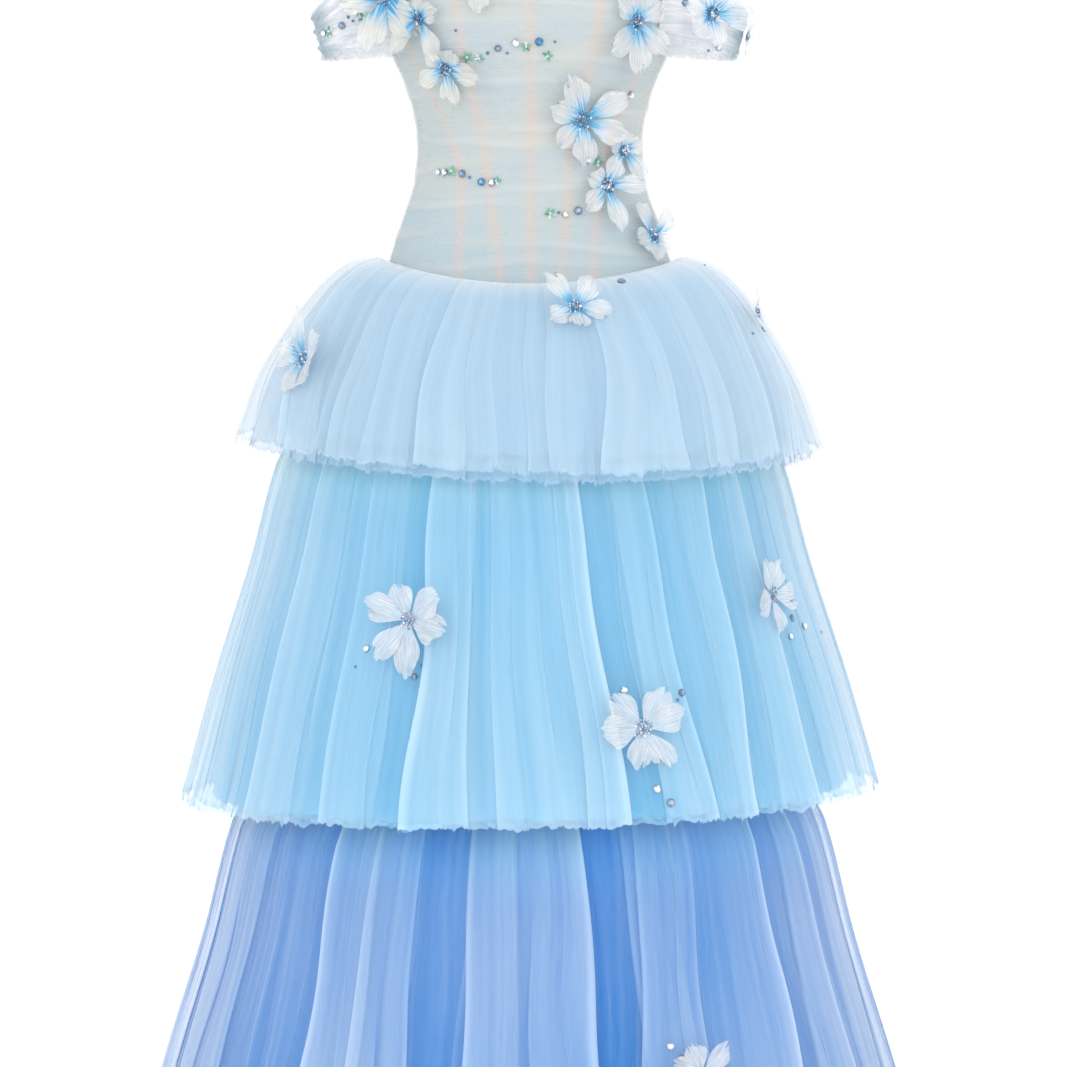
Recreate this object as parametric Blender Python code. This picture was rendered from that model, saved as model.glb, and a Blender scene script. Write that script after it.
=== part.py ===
"""Tiered tulle gown with a boned off-the-shoulder bodice and flower appliques.

Metres, +Z up. The front faces -Y and the wearer's body runs along Z.
The origin is the centre of the waist, where the bodice grips the wearer.
An azimuth is in degrees round Z: 0 is the centre front and +90 is the +X side.
"""

import math

import bmesh
import bpy
from mathutils import Matrix, Vector
from mathutils.bvhtree import BVHTree

MM = 0.001
SEAM_GAP = 0.3 * MM
# How far a flat face may cut inside the curve that it stands for
FACET_ALLOWANCE = 0.6 * MM
# Faces that meet at more than this angle keep a sharp edge
SHARP_ANGLE = math.radians(50)

# Cloth thicknesses
BODICE_WALL = 2.2 * MM
TIER_WALL = 2.0 * MM
SLEEVE_WALL = 2.0 * MM
UNDERSKIRT_WALL = 1.2 * MM
PETAL_WALL = 1.4 * MM

# Driving heights, measured from the waist
SEAM_SIDE_Z = -0.1225
SEAM_FRONT_DIP = 0.027
TIER_LAP = 0.004
UNDERSKIRT_LAP = 0.010
TIER_2_SEAM_Z = -0.300
TIER_3_SEAM_Z = -0.690

# Bodice outer surface, section by section
BODICE_COLUMNS = ("z", "half_width", "front", "back", "cup")
BODICE_SECTIONS = (
    (-0.155, 0.1650, 0.1080, 0.1230, 0.000),
    (-0.121, 0.1550, 0.1020, 0.1130, 0.000),
    (-0.079, 0.1415, 0.0950, 0.1000, 0.000),
    (-0.035, 0.1270, 0.0885, 0.0890, 0.000),
    (0.000, 0.1233, 0.0870, 0.0860, 0.000),
    (0.035, 0.1255, 0.0900, 0.0870, 0.002),
    (0.075, 0.1370, 0.0985, 0.0920, 0.007),
    (0.110, 0.1520, 0.1060, 0.0970, 0.014),
    (0.150, 0.1600, 0.1090, 0.1010, 0.018),
    (0.190, 0.1630, 0.1040, 0.1020, 0.013),
    (0.240, 0.1640, 0.0960, 0.1000, 0.004),
)
CUP_AZIMUTH = 33.0
CUP_SPREAD = 19.0

# The neckline's height at each azimuth: a soft sweetheart in front, level behind
NECKLINE_COLUMNS = ("azimuth", "z")
NECKLINE = ((0, 0.196), (14, 0.213), (34, 0.231), (58, 0.216), (95, 0.194), (180, 0.186))

# Bodice panels: the azimuths of their two seams, and their columns of faces
BODICE_PANELS = (
    ("bodice_front", -24, 24, 8),
    ("bodice_side_front_right", 24, 62, 6),
    ("bodice_side_right", 62, 102, 5),
    ("bodice_back_right", 102, 180, 8),
    ("bodice_side_front_left", -62, -24, 6),
    ("bodice_side_left", -102, -62, 5),
    ("bodice_back_left", -180, -102, 8),
)
BODICE_ROWS = 8

# Foundation skirt that the lower tiers are sewn on, ending at the last tier's seam
UNDERSKIRT_COLUMNS = ("z", "half_width", "front", "back")
UNDERSKIRT_SECTIONS = (
    (-0.165, 0.1680, 0.1160, 0.1290),
    (-0.225, 0.2080, 0.1560, 0.1680),
    (TIER_2_SEAM_Z, 0.2460, 0.2080, 0.2140),
    (-0.500, 0.2680, 0.2380, 0.2400),
    (TIER_3_SEAM_Z, 0.2930, 0.2620, 0.2640),
)
UNDERSKIRT_COLUMNS_OF_FACES = 48
# The basque's dip fades out over this height below the bodice
DIP_FADE = 0.12

# Each tier's outer surface from its seam to its hem, at the side of the dress.
# front_drop is how much lower the same ring lies at the centre front and back,
# and wave is the height of its gathers above their mean.
TIER_COLUMNS = ("z", "half_width", "front", "back", "front_drop", "wave")
TIER_1_RINGS = (
    (-0.1140, 0.1790, 0.1260, 0.1400, 0.028, 0.0020),
    (-0.1280, 0.2100, 0.1530, 0.1690, 0.027, 0.0034),
    (-0.1680, 0.2480, 0.1930, 0.2090, 0.026, 0.0044),
    (-0.2430, 0.2950, 0.2450, 0.2580, 0.024, 0.0052),
    (-0.3220, 0.3220, 0.2800, 0.2900, 0.022, 0.0060),
)
TIER_2_RINGS = (
    (-0.3300, 0.2740, 0.2400, 0.2460, 0.000, 0.0040),
    (-0.4480, 0.3070, 0.2750, 0.2780, 0.000, 0.0058),
    (-0.5760, 0.3480, 0.3130, 0.3150, 0.000, 0.0068),
    (-0.7000, 0.3830, 0.3450, 0.3460, 0.000, 0.0074),
)
TIER_3_RINGS = (
    (-0.7250, 0.3240, 0.2920, 0.2930, 0.000, 0.0042),
    (-0.8620, 0.3600, 0.3260, 0.3270, 0.000, 0.0064),
    (-0.9990, 0.4020, 0.3630, 0.3640, 0.000, 0.0078),
    (-1.1350, 0.4390, 0.3970, 0.3980, 0.000, 0.0088),
)
# The main folds of each tier: valleys pressed into its wall
FOLD_COLUMNS = ("azimuth", "depth", "half_angle")
TIER_1_FOLDS = (
    (-57, 0.010, 6), (-22, 0.008, 5), (15, 0.008, 5), (35, 0.006, 5), (56, 0.009, 6),
    (95, 0.008, 7), (128, 0.009, 6), (161, 0.008, 6), (-164, 0.008, 6), (-121, 0.010, 6),
)
TIER_2_FOLDS = (
    (-52, 0.008, 5), (-35, 0.007, 4), (-20, 0.014, 5), (14, 0.018, 5), (29, 0.008, 4),
    (41, 0.011, 4), (54, 0.010, 4), (88, 0.010, 6), (124, 0.014, 5), (159, 0.012, 5),
    (-158, 0.014, 5), (-117, 0.012, 6), (-85, 0.008, 5),
)
TIER_3_FOLDS = (
    (-38, 0.018, 5), (-19, 0.008, 4), (-10, 0.011, 3), (12, 0.020, 4), (27, 0.008, 4),
    (47, 0.018, 5), (60, 0.010, 4), (82, 0.010, 5), (112, 0.016, 5), (147, 0.014, 5),
    (179, 0.014, 5), (-140, 0.018, 5), (-97, 0.012, 6), (-66, 0.009, 5),
)
# Gathers round each tier, with the number that shifts their irregular rhythm
TIER_GATHERS = {"tier_1": (36, 0.4), "tier_2": (40, 1.9), "tier_3": (44, 3.1)}
POINTS_PER_GATHER = 4
GATHER_UNEVENNESS = 0.32
# A gather's height above the mean: this share, give or take the next one
GATHER_HEIGHT = 0.72
GATHER_HEIGHT_RANGE = 0.28
# Steps of phase that never repeat, so that neighbours differ
GOLDEN_TURN = 2.39996
HEIGHT_TURN = 1.7

# Off-the-shoulder sleeve: a swag from the bodice's front corner, round the arm, to its back
SLEEVE_FRONT_AZIMUTH = 60.0
SLEEVE_BACK_AZIMUTH = 118.0
SLEEVE_TOP_AT_SEAM = 0.205
SLEEVE_BOTTOM_AT_SEAM = 0.106
SLEEVE_TOP_AT_ARM = 0.150
SLEEVE_BOTTOM_AT_ARM = 0.100
SLEEVE_REACH_TOP = 0.2375
SLEEVE_REACH_BOTTOM = 0.2245
SLEEVE_BULGE = 0.016
# How early along the swag it drops to the arm's height, and reaches out to its width
SLEEVE_DROP_POWER = 1.3
SLEEVE_REACH_POWER = 0.7
# The end of the sleeve's wall meets the bodice at a slant, so its outer edge stands this far off
SLEEVE_SEAT = 1.8 * MM
SLEEVE_COLUMNS = 16
SLEEVE_RUCHES = (0.0, 2.0, -1.0, 2.4, -1.2, 2.0, 0.0)

# Flower appliques: the piece each one is sewn on, its azimuth and height, its size,
# how far its petals are turned, and how many petals it has
FLOWER_COLUMNS = ("name", "host", "azimuth", "z", "diameter", "turn", "petals")
FLOWERS = (
    ("flower_neck_left", "bodice", -68.0, 0.166, 0.062, 10, 5),
    ("flower_bust_left", "bodice", -52.0, 0.142, 0.070, 40, 5),
    ("flower_neck_front", "bodice", -26.0, 0.178, 0.058, 25, 5),
    ("flower_rib_left", "bodice", -44.0, 0.089, 0.060, 20, 5),
    ("flower_bust_right", "bodice", 51.0, 0.139, 0.078, 0, 6),
    ("flower_waist_right", "bodice", 33.5, 0.034, 0.082, 15, 6),
    ("flower_side_right", "bodice", 61.0, 0.001, 0.056, 50, 5),
    ("flower_hip_right", "bodice", 47.5, -0.038, 0.062, 30, 5),
    ("flower_seam_right", "bodice", 72.0, -0.092, 0.056, 5, 5),
    ("flower_back_left", "bodice", -150.0, 0.150, 0.070, 35, 5),
    ("flower_back_right", "bodice", 140.0, 0.060, 0.066, 12, 5),
    ("flower_sleeve_right", "sleeve_right", 19.0, 0.147, 0.078, 10, 6),
    ("flower_cuff_right", "sleeve_right", 80.0, 0.127, 0.040, 30, 5),
    ("flower_tier_1_front", "tier_1", 16.0, -0.170, 0.072, 25, 5),
    ("flower_tier_1_left", "tier_1", -62.0, -0.229, 0.078, 0, 5),
    ("flower_tier_1_right", "tier_1", 75.0, -0.178, 0.050, 30, 5),
    ("flower_tier_1_back", "tier_1", 167.0, -0.240, 0.076, 60, 5),
    ("flower_tier_2_left", "tier_2", -24.8, -0.494, 0.082, 12, 6),
    ("flower_tier_2_front", "tier_2", 20.8, -0.603, 0.084, 40, 6),
    ("flower_tier_2_right", "tier_2", 57.0, -0.474, 0.078, 20, 5),
    ("flower_tier_2_back", "tier_2", -150.0, -0.560, 0.082, 5, 6),
    ("flower_tier_3_front", "tier_3", 29.2, -0.964, 0.082, 15, 6),
    ("flower_tier_3_back", "tier_3", 140.0, -0.900, 0.082, 45, 6),
)
POINTS_PER_PETAL = 4
PETAL_NOTCH = 0.50
PETAL_SHOULDER = 0.92
PETAL_SIZE_RANGE = 0.10
FLOWER_HEART = 0.26
HEART_DOME = 3.0 * MM
HEART_RIM_LIFT = 0.6 * MM
# The slope of the host under a flower is read over this height each way
SLOPE_REACH = 0.02
PETAL_LIFT = 5.0 * MM
FLOWER_SEAT = 0.6 * MM
SEAT_STEP = 1.0 * MM
RAY_START = 0.1
DRAPE_LIMIT = 0.03
FAR_OUTSIDE = 0.9
# Where the axis that a host's azimuths turn round stands
HOST_AXIS_X = {"sleeve_right": 0.170}

COLOURS = {
    "bodice": (0.66, 0.74, 0.76),
    "sleeve": (0.82, 0.87, 0.92),
    "tier_1": (0.50, 0.71, 0.89),
    "tier_2": (0.35, 0.65, 0.90),
    "tier_3": (0.27, 0.47, 0.84),
    "underskirt": (0.42, 0.66, 0.90),
    "flower": (0.85, 0.86, 0.88),
}


def clear_scene():
    for thing in list(bpy.data.objects):
        bpy.data.objects.remove(thing, do_unlink=True)


def cloth_material(name):
    made = bpy.data.materials.new(name)
    made.use_nodes = True
    shader = made.node_tree.nodes["Principled BSDF"]
    shader.inputs["Base Color"].default_value = (*COLOURS[name], 1.0)
    shader.inputs["Roughness"].default_value = 0.8
    shader.inputs["Metallic"].default_value = 0.0
    made.diffuse_color = (*COLOURS[name], 1.0)
    return made


def smooth_step(rows, x):
    """The rows' other columns at x, on smooth curves through the rows."""
    rows = sorted(rows)
    if x <= rows[0][0]:
        return rows[0][1:]
    if x >= rows[-1][0]:
        return rows[-1][1:]
    i = next(k for k in range(len(rows) - 1) if x <= rows[k + 1][0])
    before, low = rows[max(i - 1, 0)], rows[i]
    high, after = rows[i + 1], rows[min(i + 2, len(rows) - 1)]
    span = high[0] - low[0]
    t = (x - low[0]) / span
    found = []
    for c in range(1, len(low)):
        slope_low = (high[c] - before[c]) / (high[0] - before[0]) * span
        slope_high = (after[c] - low[c]) / (after[0] - low[0]) * span
        found.append(
            (2 * t**3 - 3 * t**2 + 1) * low[c]
            + (t**3 - 2 * t**2 + t) * slope_low
            + (3 * t**2 - 2 * t**3) * high[c]
            + (t**3 - t**2) * slope_high
        )
    return tuple(found)


def on_section(azimuth, z, half_width, front, back, out=0.0):
    """A point on an egg-shaped section, moved out from the axis by out."""
    turn = math.radians(azimuth)
    depth = front if math.cos(turn) > 0 else back
    x, y = half_width * math.sin(turn), -depth * math.cos(turn)
    away = Vector((math.sin(turn) / half_width, -math.cos(turn) / depth, 0)).normalized()
    return Vector((x, y, z)) + away * out


def bodice_point(azimuth, z, out=0.0):
    half_width, front, back, cup = smooth_step(BODICE_SECTIONS, z)
    from_cup = (abs(azimuth) - CUP_AZIMUTH) / CUP_SPREAD
    swell = cup * math.exp(-from_cup * from_cup)
    return on_section(azimuth, z, half_width, front, back, swell + out)


def bodice_normal(azimuth, z):
    across = bodice_point(azimuth + 1, z) - bodice_point(azimuth - 1, z)
    up = bodice_point(azimuth, z + MM) - bodice_point(azimuth, z - MM)
    return across.cross(up).normalized()


def seam_height(azimuth):
    """The bodice's lower edge: a shallow basque dip at the centre front and back."""
    return SEAM_SIDE_Z - SEAM_FRONT_DIP * math.cos(math.radians(azimuth)) ** 2


def neckline_height(azimuth):
    return smooth_step(NECKLINE, abs(azimuth))[0]


def grid_normals(grid, closed):
    """The unit normal at each point of grid[column][row], by its neighbours."""
    columns, rows = len(grid), len(grid[0])
    normals = []
    for i in range(columns):
        after = grid[(i + 1) % columns] if closed else grid[min(i + 1, columns - 1)]
        before = grid[i - 1] if closed else grid[max(i - 1, 0)]
        line = []
        for j in range(rows):
            across = after[j] - before[j]
            down = grid[i][min(j + 1, rows - 1)] - grid[i][max(j - 1, 0)]
            line.append(down.cross(across).normalized())
        normals.append(line)
    return normals


def new_object(name, points, faces, material):
    mesh = bpy.data.meshes.new(name)
    mesh.from_pydata([tuple(p) for p in points], [], faces)
    mesh.materials.append(material)
    shaped = bmesh.new()
    shaped.from_mesh(mesh)
    bmesh.ops.triangulate(shaped, faces=shaped.faces)
    bmesh.ops.recalc_face_normals(shaped, faces=shaped.faces)
    shaped.to_mesh(mesh)
    shaped.free()
    mesh.shade_smooth()
    mesh.set_sharp_from_angle(angle=SHARP_ANGLE)
    made = bpy.data.objects.new(name, mesh)
    bpy.context.scene.collection.objects.link(made)
    return made


def wall(name, grid, normals, thickness, material):
    """A closed cloth wall: grid is its outer face, and its inner face lies thickness inside."""
    columns, rows = len(grid), len(grid[0])
    outer = [p for line in grid for p in line]
    inner = [p - n * thickness for line, ns in zip(grid, normals) for p, n in zip(line, ns)]
    half = len(outer)

    def at(i, j, side=0):
        return side * half + i * rows + j

    faces = []
    for i in range(columns - 1):
        for j in range(rows - 1):
            corners = ((i, j), (i + 1, j), (i + 1, j + 1), (i, j + 1))
            faces.append([at(a, b) for a, b in corners])
            faces.append([at(a, b, 1) for a, b in reversed(corners)])
    rim = [(i, 0) for i in range(columns)]
    rim += [(columns - 1, j) for j in range(1, rows)]
    rim += [(i, rows - 1) for i in range(columns - 2, -1, -1)]
    rim += [(0, j) for j in range(rows - 2, 0, -1)]
    for here, there in zip(rim, rim[1:] + rim[:1]):
        faces.append([at(*here), at(*here, 1), at(*there, 1), at(*there)])
    return new_object(name, outer + inner, faces, material)


def part_at_seams(grid):
    """Draws the first and last columns in by half a seam gap."""
    lines = [[p.copy() for p in line] for line in grid]
    for edge, towards in ((0, 1), (-1, -2)):
        for j, p in enumerate(grid[edge]):
            lines[edge][j] = p + (grid[towards][j] - p).normalized() * (SEAM_GAP / 2)
    return lines


def split_at_sides(name, grid, normals, first, last, thickness, material):
    """Front and back walls from a whole ring of columns, parted at columns first and last."""
    count = len(grid)
    halves = []
    spans = ((f"{name}_front", first, last), (f"{name}_back", last, first + count))
    for half_name, start, end in spans:
        chosen = [i % count for i in range(start, end + 1)]
        lines = part_at_seams([grid[i] for i in chosen])
        facing = [normals[i] for i in chosen]
        halves.append(wall(half_name, lines, facing, thickness, material))
    return halves


def make_bodice(material):
    panels = []
    for name, start, end, columns in BODICE_PANELS:
        grid, normals = [], []
        for i in range(columns + 1):
            azimuth = start + (end - start) * i / columns
            low, high = seam_height(azimuth), neckline_height(azimuth)
            heights = [high + (low - high) * j / BODICE_ROWS for j in range(BODICE_ROWS + 1)]
            grid.append([bodice_point(azimuth, z) for z in heights])
            normals.append([bodice_normal(azimuth, z) for z in heights])
        panels.append(wall(name, part_at_seams(grid), normals, BODICE_WALL, material))
    return panels


def underskirt_point(azimuth, z, out=0.0):
    drop = SEAM_FRONT_DIP * math.cos(math.radians(azimuth)) ** 2
    fade = max(0.0, 1 - (SEAM_SIDE_Z - z) / DIP_FADE)
    half_width, front, back = smooth_step(UNDERSKIRT_SECTIONS, z)
    return on_section(azimuth, z - drop * fade, half_width, front, back, out)


def make_underskirt(material):
    """Front and back halves of the foundation skirt, lapped inside the bodice's lower edge."""
    inside_bodice = -(BODICE_WALL + SEAM_GAP + FACET_ALLOWANCE)
    count = UNDERSKIRT_COLUMNS_OF_FACES
    grid = []
    for i in range(count):
        azimuth = 360 * i / count - 180
        top = seam_height(azimuth)
        line = [
            bodice_point(azimuth, top + UNDERSKIRT_LAP, inside_bodice),
            bodice_point(azimuth, top - SEAM_GAP, inside_bodice),
        ]
        line += [underskirt_point(azimuth, row[0]) for row in UNDERSKIRT_SECTIONS]
        grid.append(line)
    normals = grid_normals(grid, closed=True)
    sides = count // 4, count * 3 // 4
    return split_at_sides("underskirt", grid, normals, *sides, UNDERSKIRT_WALL, material)


def gather_rhythm(count, shift):
    """(azimuth, height) of each crest, flank and valley of a tier's gathers, round from -180."""
    widths = [1 + GATHER_UNEVENNESS * math.sin(k * GOLDEN_TURN + shift) for k in range(count)]
    swings = [math.sin(k * HEIGHT_TURN + 2 * shift) for k in range(count)]
    heights = [GATHER_HEIGHT + GATHER_HEIGHT_RANGE * swing for swing in swings]
    total, at, rhythm = sum(widths), 0.0, []
    shape = (0.0, 1.0, 0.0, -1.0)
    for width, height in zip(widths, heights):
        for p in range(POINTS_PER_GATHER):
            azimuth = (at + width * p / POINTS_PER_GATHER) / total * 360 - 180
            rhythm.append((azimuth, shape[p] * height))
        at += width
    return rhythm


def fold_depth(folds, azimuth):
    depth = 0.0
    for centre, deepest, half_angle in folds:
        away = (azimuth - centre + 180) % 360 - 180
        depth += deepest * math.exp(-((away / half_angle) ** 2))
    return depth


def ring_point(ring, azimuth, height, fold):
    """A point of one ring of a tier, at a gather of that height and under that fold."""
    z, half_width, front, back, front_drop, wave = ring
    drop = front_drop * math.cos(math.radians(azimuth)) ** 2
    return on_section(azimuth, z - drop, half_width, front, back, wave * height - fold)


def tier_grid(rings, folds, rhythm, seam):
    """The tier's outer face: its seam ring, then its table's rings, in columns round the dress."""
    grid = []
    for azimuth, height in rhythm:
        depth = fold_depth(folds, azimuth)
        line = [seam(azimuth)]
        for j, ring in enumerate(rings):
            grown = (j + 1) / len(rings)
            line.append(ring_point(ring, azimuth, height, depth * grown))
        grid.append(line)
    return grid


def make_tier(name, rings, folds, seam, material):
    """The tier's front and back widths of tulle, joined at the sides.

    Its top edge lies flat on what carries it, so its wall is square to that there.
    """
    rhythm = gather_rhythm(*TIER_GATHERS[name])
    grid = tier_grid(rings, folds, rhythm, seam)
    normals = grid_normals(grid, closed=True)
    for i, (azimuth, _) in enumerate(rhythm):
        turn = seam(azimuth + 1) - seam(azimuth - 1)
        normals[i][0] = Vector((turn.y, -turn.x, 0)).normalized()
    first = min(range(len(grid)), key=lambda i: abs(rhythm[i][0] + 90))
    last = min(range(len(grid)), key=lambda i: abs(rhythm[i][0] - 90))
    return split_at_sides(name, grid, normals, first, last, TIER_WALL, material)


def waist_seam(azimuth):
    return bodice_point(azimuth, seam_height(azimuth) + TIER_LAP, TIER_WALL + SEAM_GAP)


def tier_2_seam(azimuth):
    return underskirt_point(azimuth, TIER_2_SEAM_Z, SEAM_GAP + TIER_WALL)


def tier_3_seam(azimuth):
    return underskirt_point(azimuth, TIER_3_SEAM_Z + TIER_LAP, SEAM_GAP + TIER_WALL)


def sleeve_point(side, around, up, ruche):
    """A point of the swag: around runs 0 to 1 from front to back, up 0 to 1 from its lower edge."""
    reach = math.sin(math.pi * around)
    azimuth = SLEEVE_FRONT_AZIMUTH + (SLEEVE_BACK_AZIMUTH - SLEEVE_FRONT_AZIMUTH) * around
    at_seam = SLEEVE_BOTTOM_AT_SEAM + (SLEEVE_TOP_AT_SEAM - SLEEVE_BOTTOM_AT_SEAM) * up
    at_arm = SLEEVE_BOTTOM_AT_ARM + (SLEEVE_TOP_AT_ARM - SLEEVE_BOTTOM_AT_ARM) * up
    furthest = SLEEVE_REACH_BOTTOM + (SLEEVE_REACH_TOP - SLEEVE_REACH_BOTTOM) * up
    z = at_seam + (at_arm - at_seam) * reach**SLEEVE_DROP_POWER
    start = bodice_point(azimuth, at_seam, SLEEVE_SEAT)
    widest = bodice_point(90, at_seam, SLEEVE_SEAT).x
    x = start.x + (furthest - widest) * reach**SLEEVE_REACH_POWER
    y = start.y - SLEEVE_BULGE * math.sin(2 * math.pi * around)
    out = Vector((reach, -math.cos(math.pi * around), 0)).normalized()
    point = Vector((x, y, z)) + out * (ruche * MM * reach)
    point.x *= side
    return point


def make_sleeve(name, side, material):
    rows = len(SLEEVE_RUCHES)
    grid = []
    for i in range(SLEEVE_COLUMNS + 1):
        around = i / SLEEVE_COLUMNS
        line = [
            sleeve_point(side, around, 1 - j / (rows - 1), SLEEVE_RUCHES[j]) for j in range(rows)
        ]
        grid.append(line)
    if side < 0:
        grid.reverse()
    normals = grid_normals(grid, closed=False)
    return wall(name, grid, normals, SLEEVE_WALL, material)


class Ground:
    """The pieces that a flower is seated on, and how far they reach along a ray."""

    def __init__(self, hosts):
        self.trees = []
        for host in hosts:
            self.add(host)

    def add(self, thing):
        points = [v.co.copy() for v in thing.data.vertices]
        polygons = [tuple(p.vertices) for p in thing.data.polygons]
        self.trees.append(BVHTree.FromPolygons(points, polygons))

    def hit(self, start, direction):
        """(distance, place) of the first thing met, or None."""
        found = [tree.ray_cast(start, direction) for tree in self.trees]
        met = [(f[3], f[0]) for f in found if f[0] is not None]
        return min(met, key=lambda m: m[0]) if met else None


def flower_outline(petals, turn):
    """(angle, share of the radius) of each notch, shoulder and tip, petal by petal."""
    shape = (PETAL_NOTCH, PETAL_SHOULDER, 1.0, PETAL_SHOULDER)
    outline = []
    for k in range(petals):
        size = 1 - PETAL_SIZE_RANGE * math.sin(k * GOLDEN_TURN + turn)
        for p, share in enumerate(shape):
            angle = math.radians(turn) + 2 * math.pi * (k + p / POINTS_PER_PETAL) / petals
            outline.append((angle, share * (size if p else 1.0)))
    return outline


def flower_faces(count, heart_count):
    """Faces of a disc with a fan at its heart and a band of petals, and its underside and rim."""
    step = count // heart_count
    top_heart = [1 + i for i in range(heart_count)]
    top_rim = [1 + heart_count + i for i in range(count)]
    under = 1 + heart_count + count
    faces = []
    for base, flip in ((0, False), (under, True)):
        for i in range(heart_count):
            here, there = top_heart[i], top_heart[(i + 1) % heart_count]
            fan = [[0, here, there]]
            for s in range(step):
                outer = top_rim[i * step + s], top_rim[(i * step + s + 1) % count]
                inner = here if s < step / 2 else there
                fan.append([inner, outer[0], outer[1]])
                if s == step // 2:
                    fan.append([here, outer[0], there])
            for face in fan:
                shifted = [base + v for v in face]
                faces.append(shifted[::-1] if flip else shifted)
    for here, there in zip(top_rim, top_rim[1:] + top_rim[:1]):
        faces.append([here, under + here, under + there, there])
    return faces


def make_flower(row, ground, draped, material):
    """A cupped flower seated just clear of its host, and of the flowers already there."""
    name, host, azimuth, z, diameter, turn, petals = row
    radius = diameter / 2
    turned = math.radians(azimuth)
    inward = Vector((-math.sin(turned), math.cos(turned), 0))
    start = Vector((HOST_AXIS_X.get(host, 0), 0, z)) - inward * FAR_OUTSIDE
    place = ground.hit(start, inward)[1]
    across = Vector((math.cos(turned), math.sin(turned), 0))
    slope = Vector((0, 0, SLOPE_REACH))
    above = ground.hit(start + slope, inward)[1]
    below = ground.hit(start - slope, inward)[1]
    up = (above - below).normalized()
    out = across.cross(up).normalized()
    side = up.cross(out).normalized()

    def drape(u, v):
        """How far the host falls away from the flower's plane at (u, v)."""
        if not draped:
            return 0.0
        met = ground.hit(place + side * u + up * v + out * RAY_START, -out)
        return max(RAY_START - met[0], -DRAPE_LIMIT) if met else 0.0

    outline = flower_outline(petals, turn)
    hearts = [outline[i][0] for i in range(0, len(outline), 2)]
    flat = [(0.0, 0.0, HEART_DOME)]
    flat += [(FLOWER_HEART * radius, a, HEART_RIM_LIFT) for a in hearts]
    flat += [(share * radius, a, PETAL_LIFT * share**2) for a, share in outline]
    points = []
    for layer in (PETAL_WALL, 0.0):
        for reach, angle, lift in flat:
            u, v = reach * math.cos(angle), reach * math.sin(angle)
            bend = drape(u, v)
            raised = (lift if layer or reach else 0.0) + layer
            points.append(place + side * u + up * v + out * (bend + raised))
    faces = flower_faces(len(outline), len(hearts))
    made = new_object(name, points, faces, material)

    itself = Ground([made])
    least = 1.0
    steps = int(radius / SEAT_STEP)
    for i in range(-steps, steps + 1):
        for j in range(-steps, steps + 1):
            spot = place + side * (i * SEAT_STEP) + up * (j * SEAT_STEP)
            petal = itself.hit(spot - out * RAY_START, out)
            below = ground.hit(spot + out * RAY_START, -out)
            if petal and below:
                least = min(least, petal[0] + below[0] - 2 * RAY_START)
    made.data.transform(Matrix.Translation(out * (FLOWER_SEAT - least)))
    ground.add(made)
    return made


def main():
    clear_scene()
    cloths = {name: cloth_material(name) for name in COLOURS}
    bodice = make_bodice(cloths["bodice"])
    make_underskirt(cloths["underskirt"])
    tiers = {
        "tier_1": make_tier("tier_1", TIER_1_RINGS, TIER_1_FOLDS, waist_seam, cloths["tier_1"]),
        "tier_2": make_tier("tier_2", TIER_2_RINGS, TIER_2_FOLDS, tier_2_seam, cloths["tier_2"]),
        "tier_3": make_tier("tier_3", TIER_3_RINGS, TIER_3_FOLDS, tier_3_seam, cloths["tier_3"]),
    }
    sleeve_right = make_sleeve("sleeve_right", 1, cloths["sleeve"])
    sleeve_left = make_sleeve("sleeve_left", -1, cloths["sleeve"])
    grounds = {name: Ground(halves) for name, halves in tiers.items()}
    grounds["bodice"] = Ground(bodice + [sleeve_left, sleeve_right])
    grounds["sleeve_right"] = grounds["bodice"]
    for row in FLOWERS:
        host = row[1]
        make_flower(row, grounds[host], host not in tiers, cloths["flower"])


main()
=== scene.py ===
"""Looks of the tiered tulle gown: sheer tulle, a draped bodice over bones, petals and beads.

Metres, +Z up, in the frame of the solids: the origin is the centre of the waist and the
front faces -Y. An azimuth is in degrees round Z: 0 at the centre front, +90 at the +X side.
"""

import math

import bpy
import numpy as np
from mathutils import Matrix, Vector
from mathutils.bvhtree import BVHTree


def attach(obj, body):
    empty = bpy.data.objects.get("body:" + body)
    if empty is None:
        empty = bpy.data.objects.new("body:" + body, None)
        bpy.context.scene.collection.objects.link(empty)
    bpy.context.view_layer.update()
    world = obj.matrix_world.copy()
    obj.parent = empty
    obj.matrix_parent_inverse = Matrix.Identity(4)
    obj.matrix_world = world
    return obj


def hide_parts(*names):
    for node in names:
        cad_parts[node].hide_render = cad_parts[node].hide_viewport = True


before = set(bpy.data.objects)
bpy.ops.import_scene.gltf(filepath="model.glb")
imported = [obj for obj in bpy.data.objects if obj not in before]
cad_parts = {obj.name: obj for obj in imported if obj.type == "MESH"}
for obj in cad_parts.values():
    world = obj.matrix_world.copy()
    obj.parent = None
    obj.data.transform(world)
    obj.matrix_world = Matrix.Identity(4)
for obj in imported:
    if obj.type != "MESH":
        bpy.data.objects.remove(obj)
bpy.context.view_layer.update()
BODY = "root"
MM = 0.001

# The photograph: its side in pixels, and its scale at the depth of the waist
PHOTO_SIDE = 1067
METRES_PER_PIXEL = 0.0011
CAMERA_PLACE = Vector((0.004, -5.0, -0.10))
CAMERA_TARGET = Vector((0.004, 0.0, -0.4175))
SENSOR_MM = 36.0
# The white studio: a floor just under the hem, even light all round and three soft lamps
FLOOR_Z = -1.155
FLOOR_HALF = 30.0
FLOOR_COLOUR = (0.97, 0.97, 0.97, 1.0)
WORLD_STRENGTH = 1.05
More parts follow.
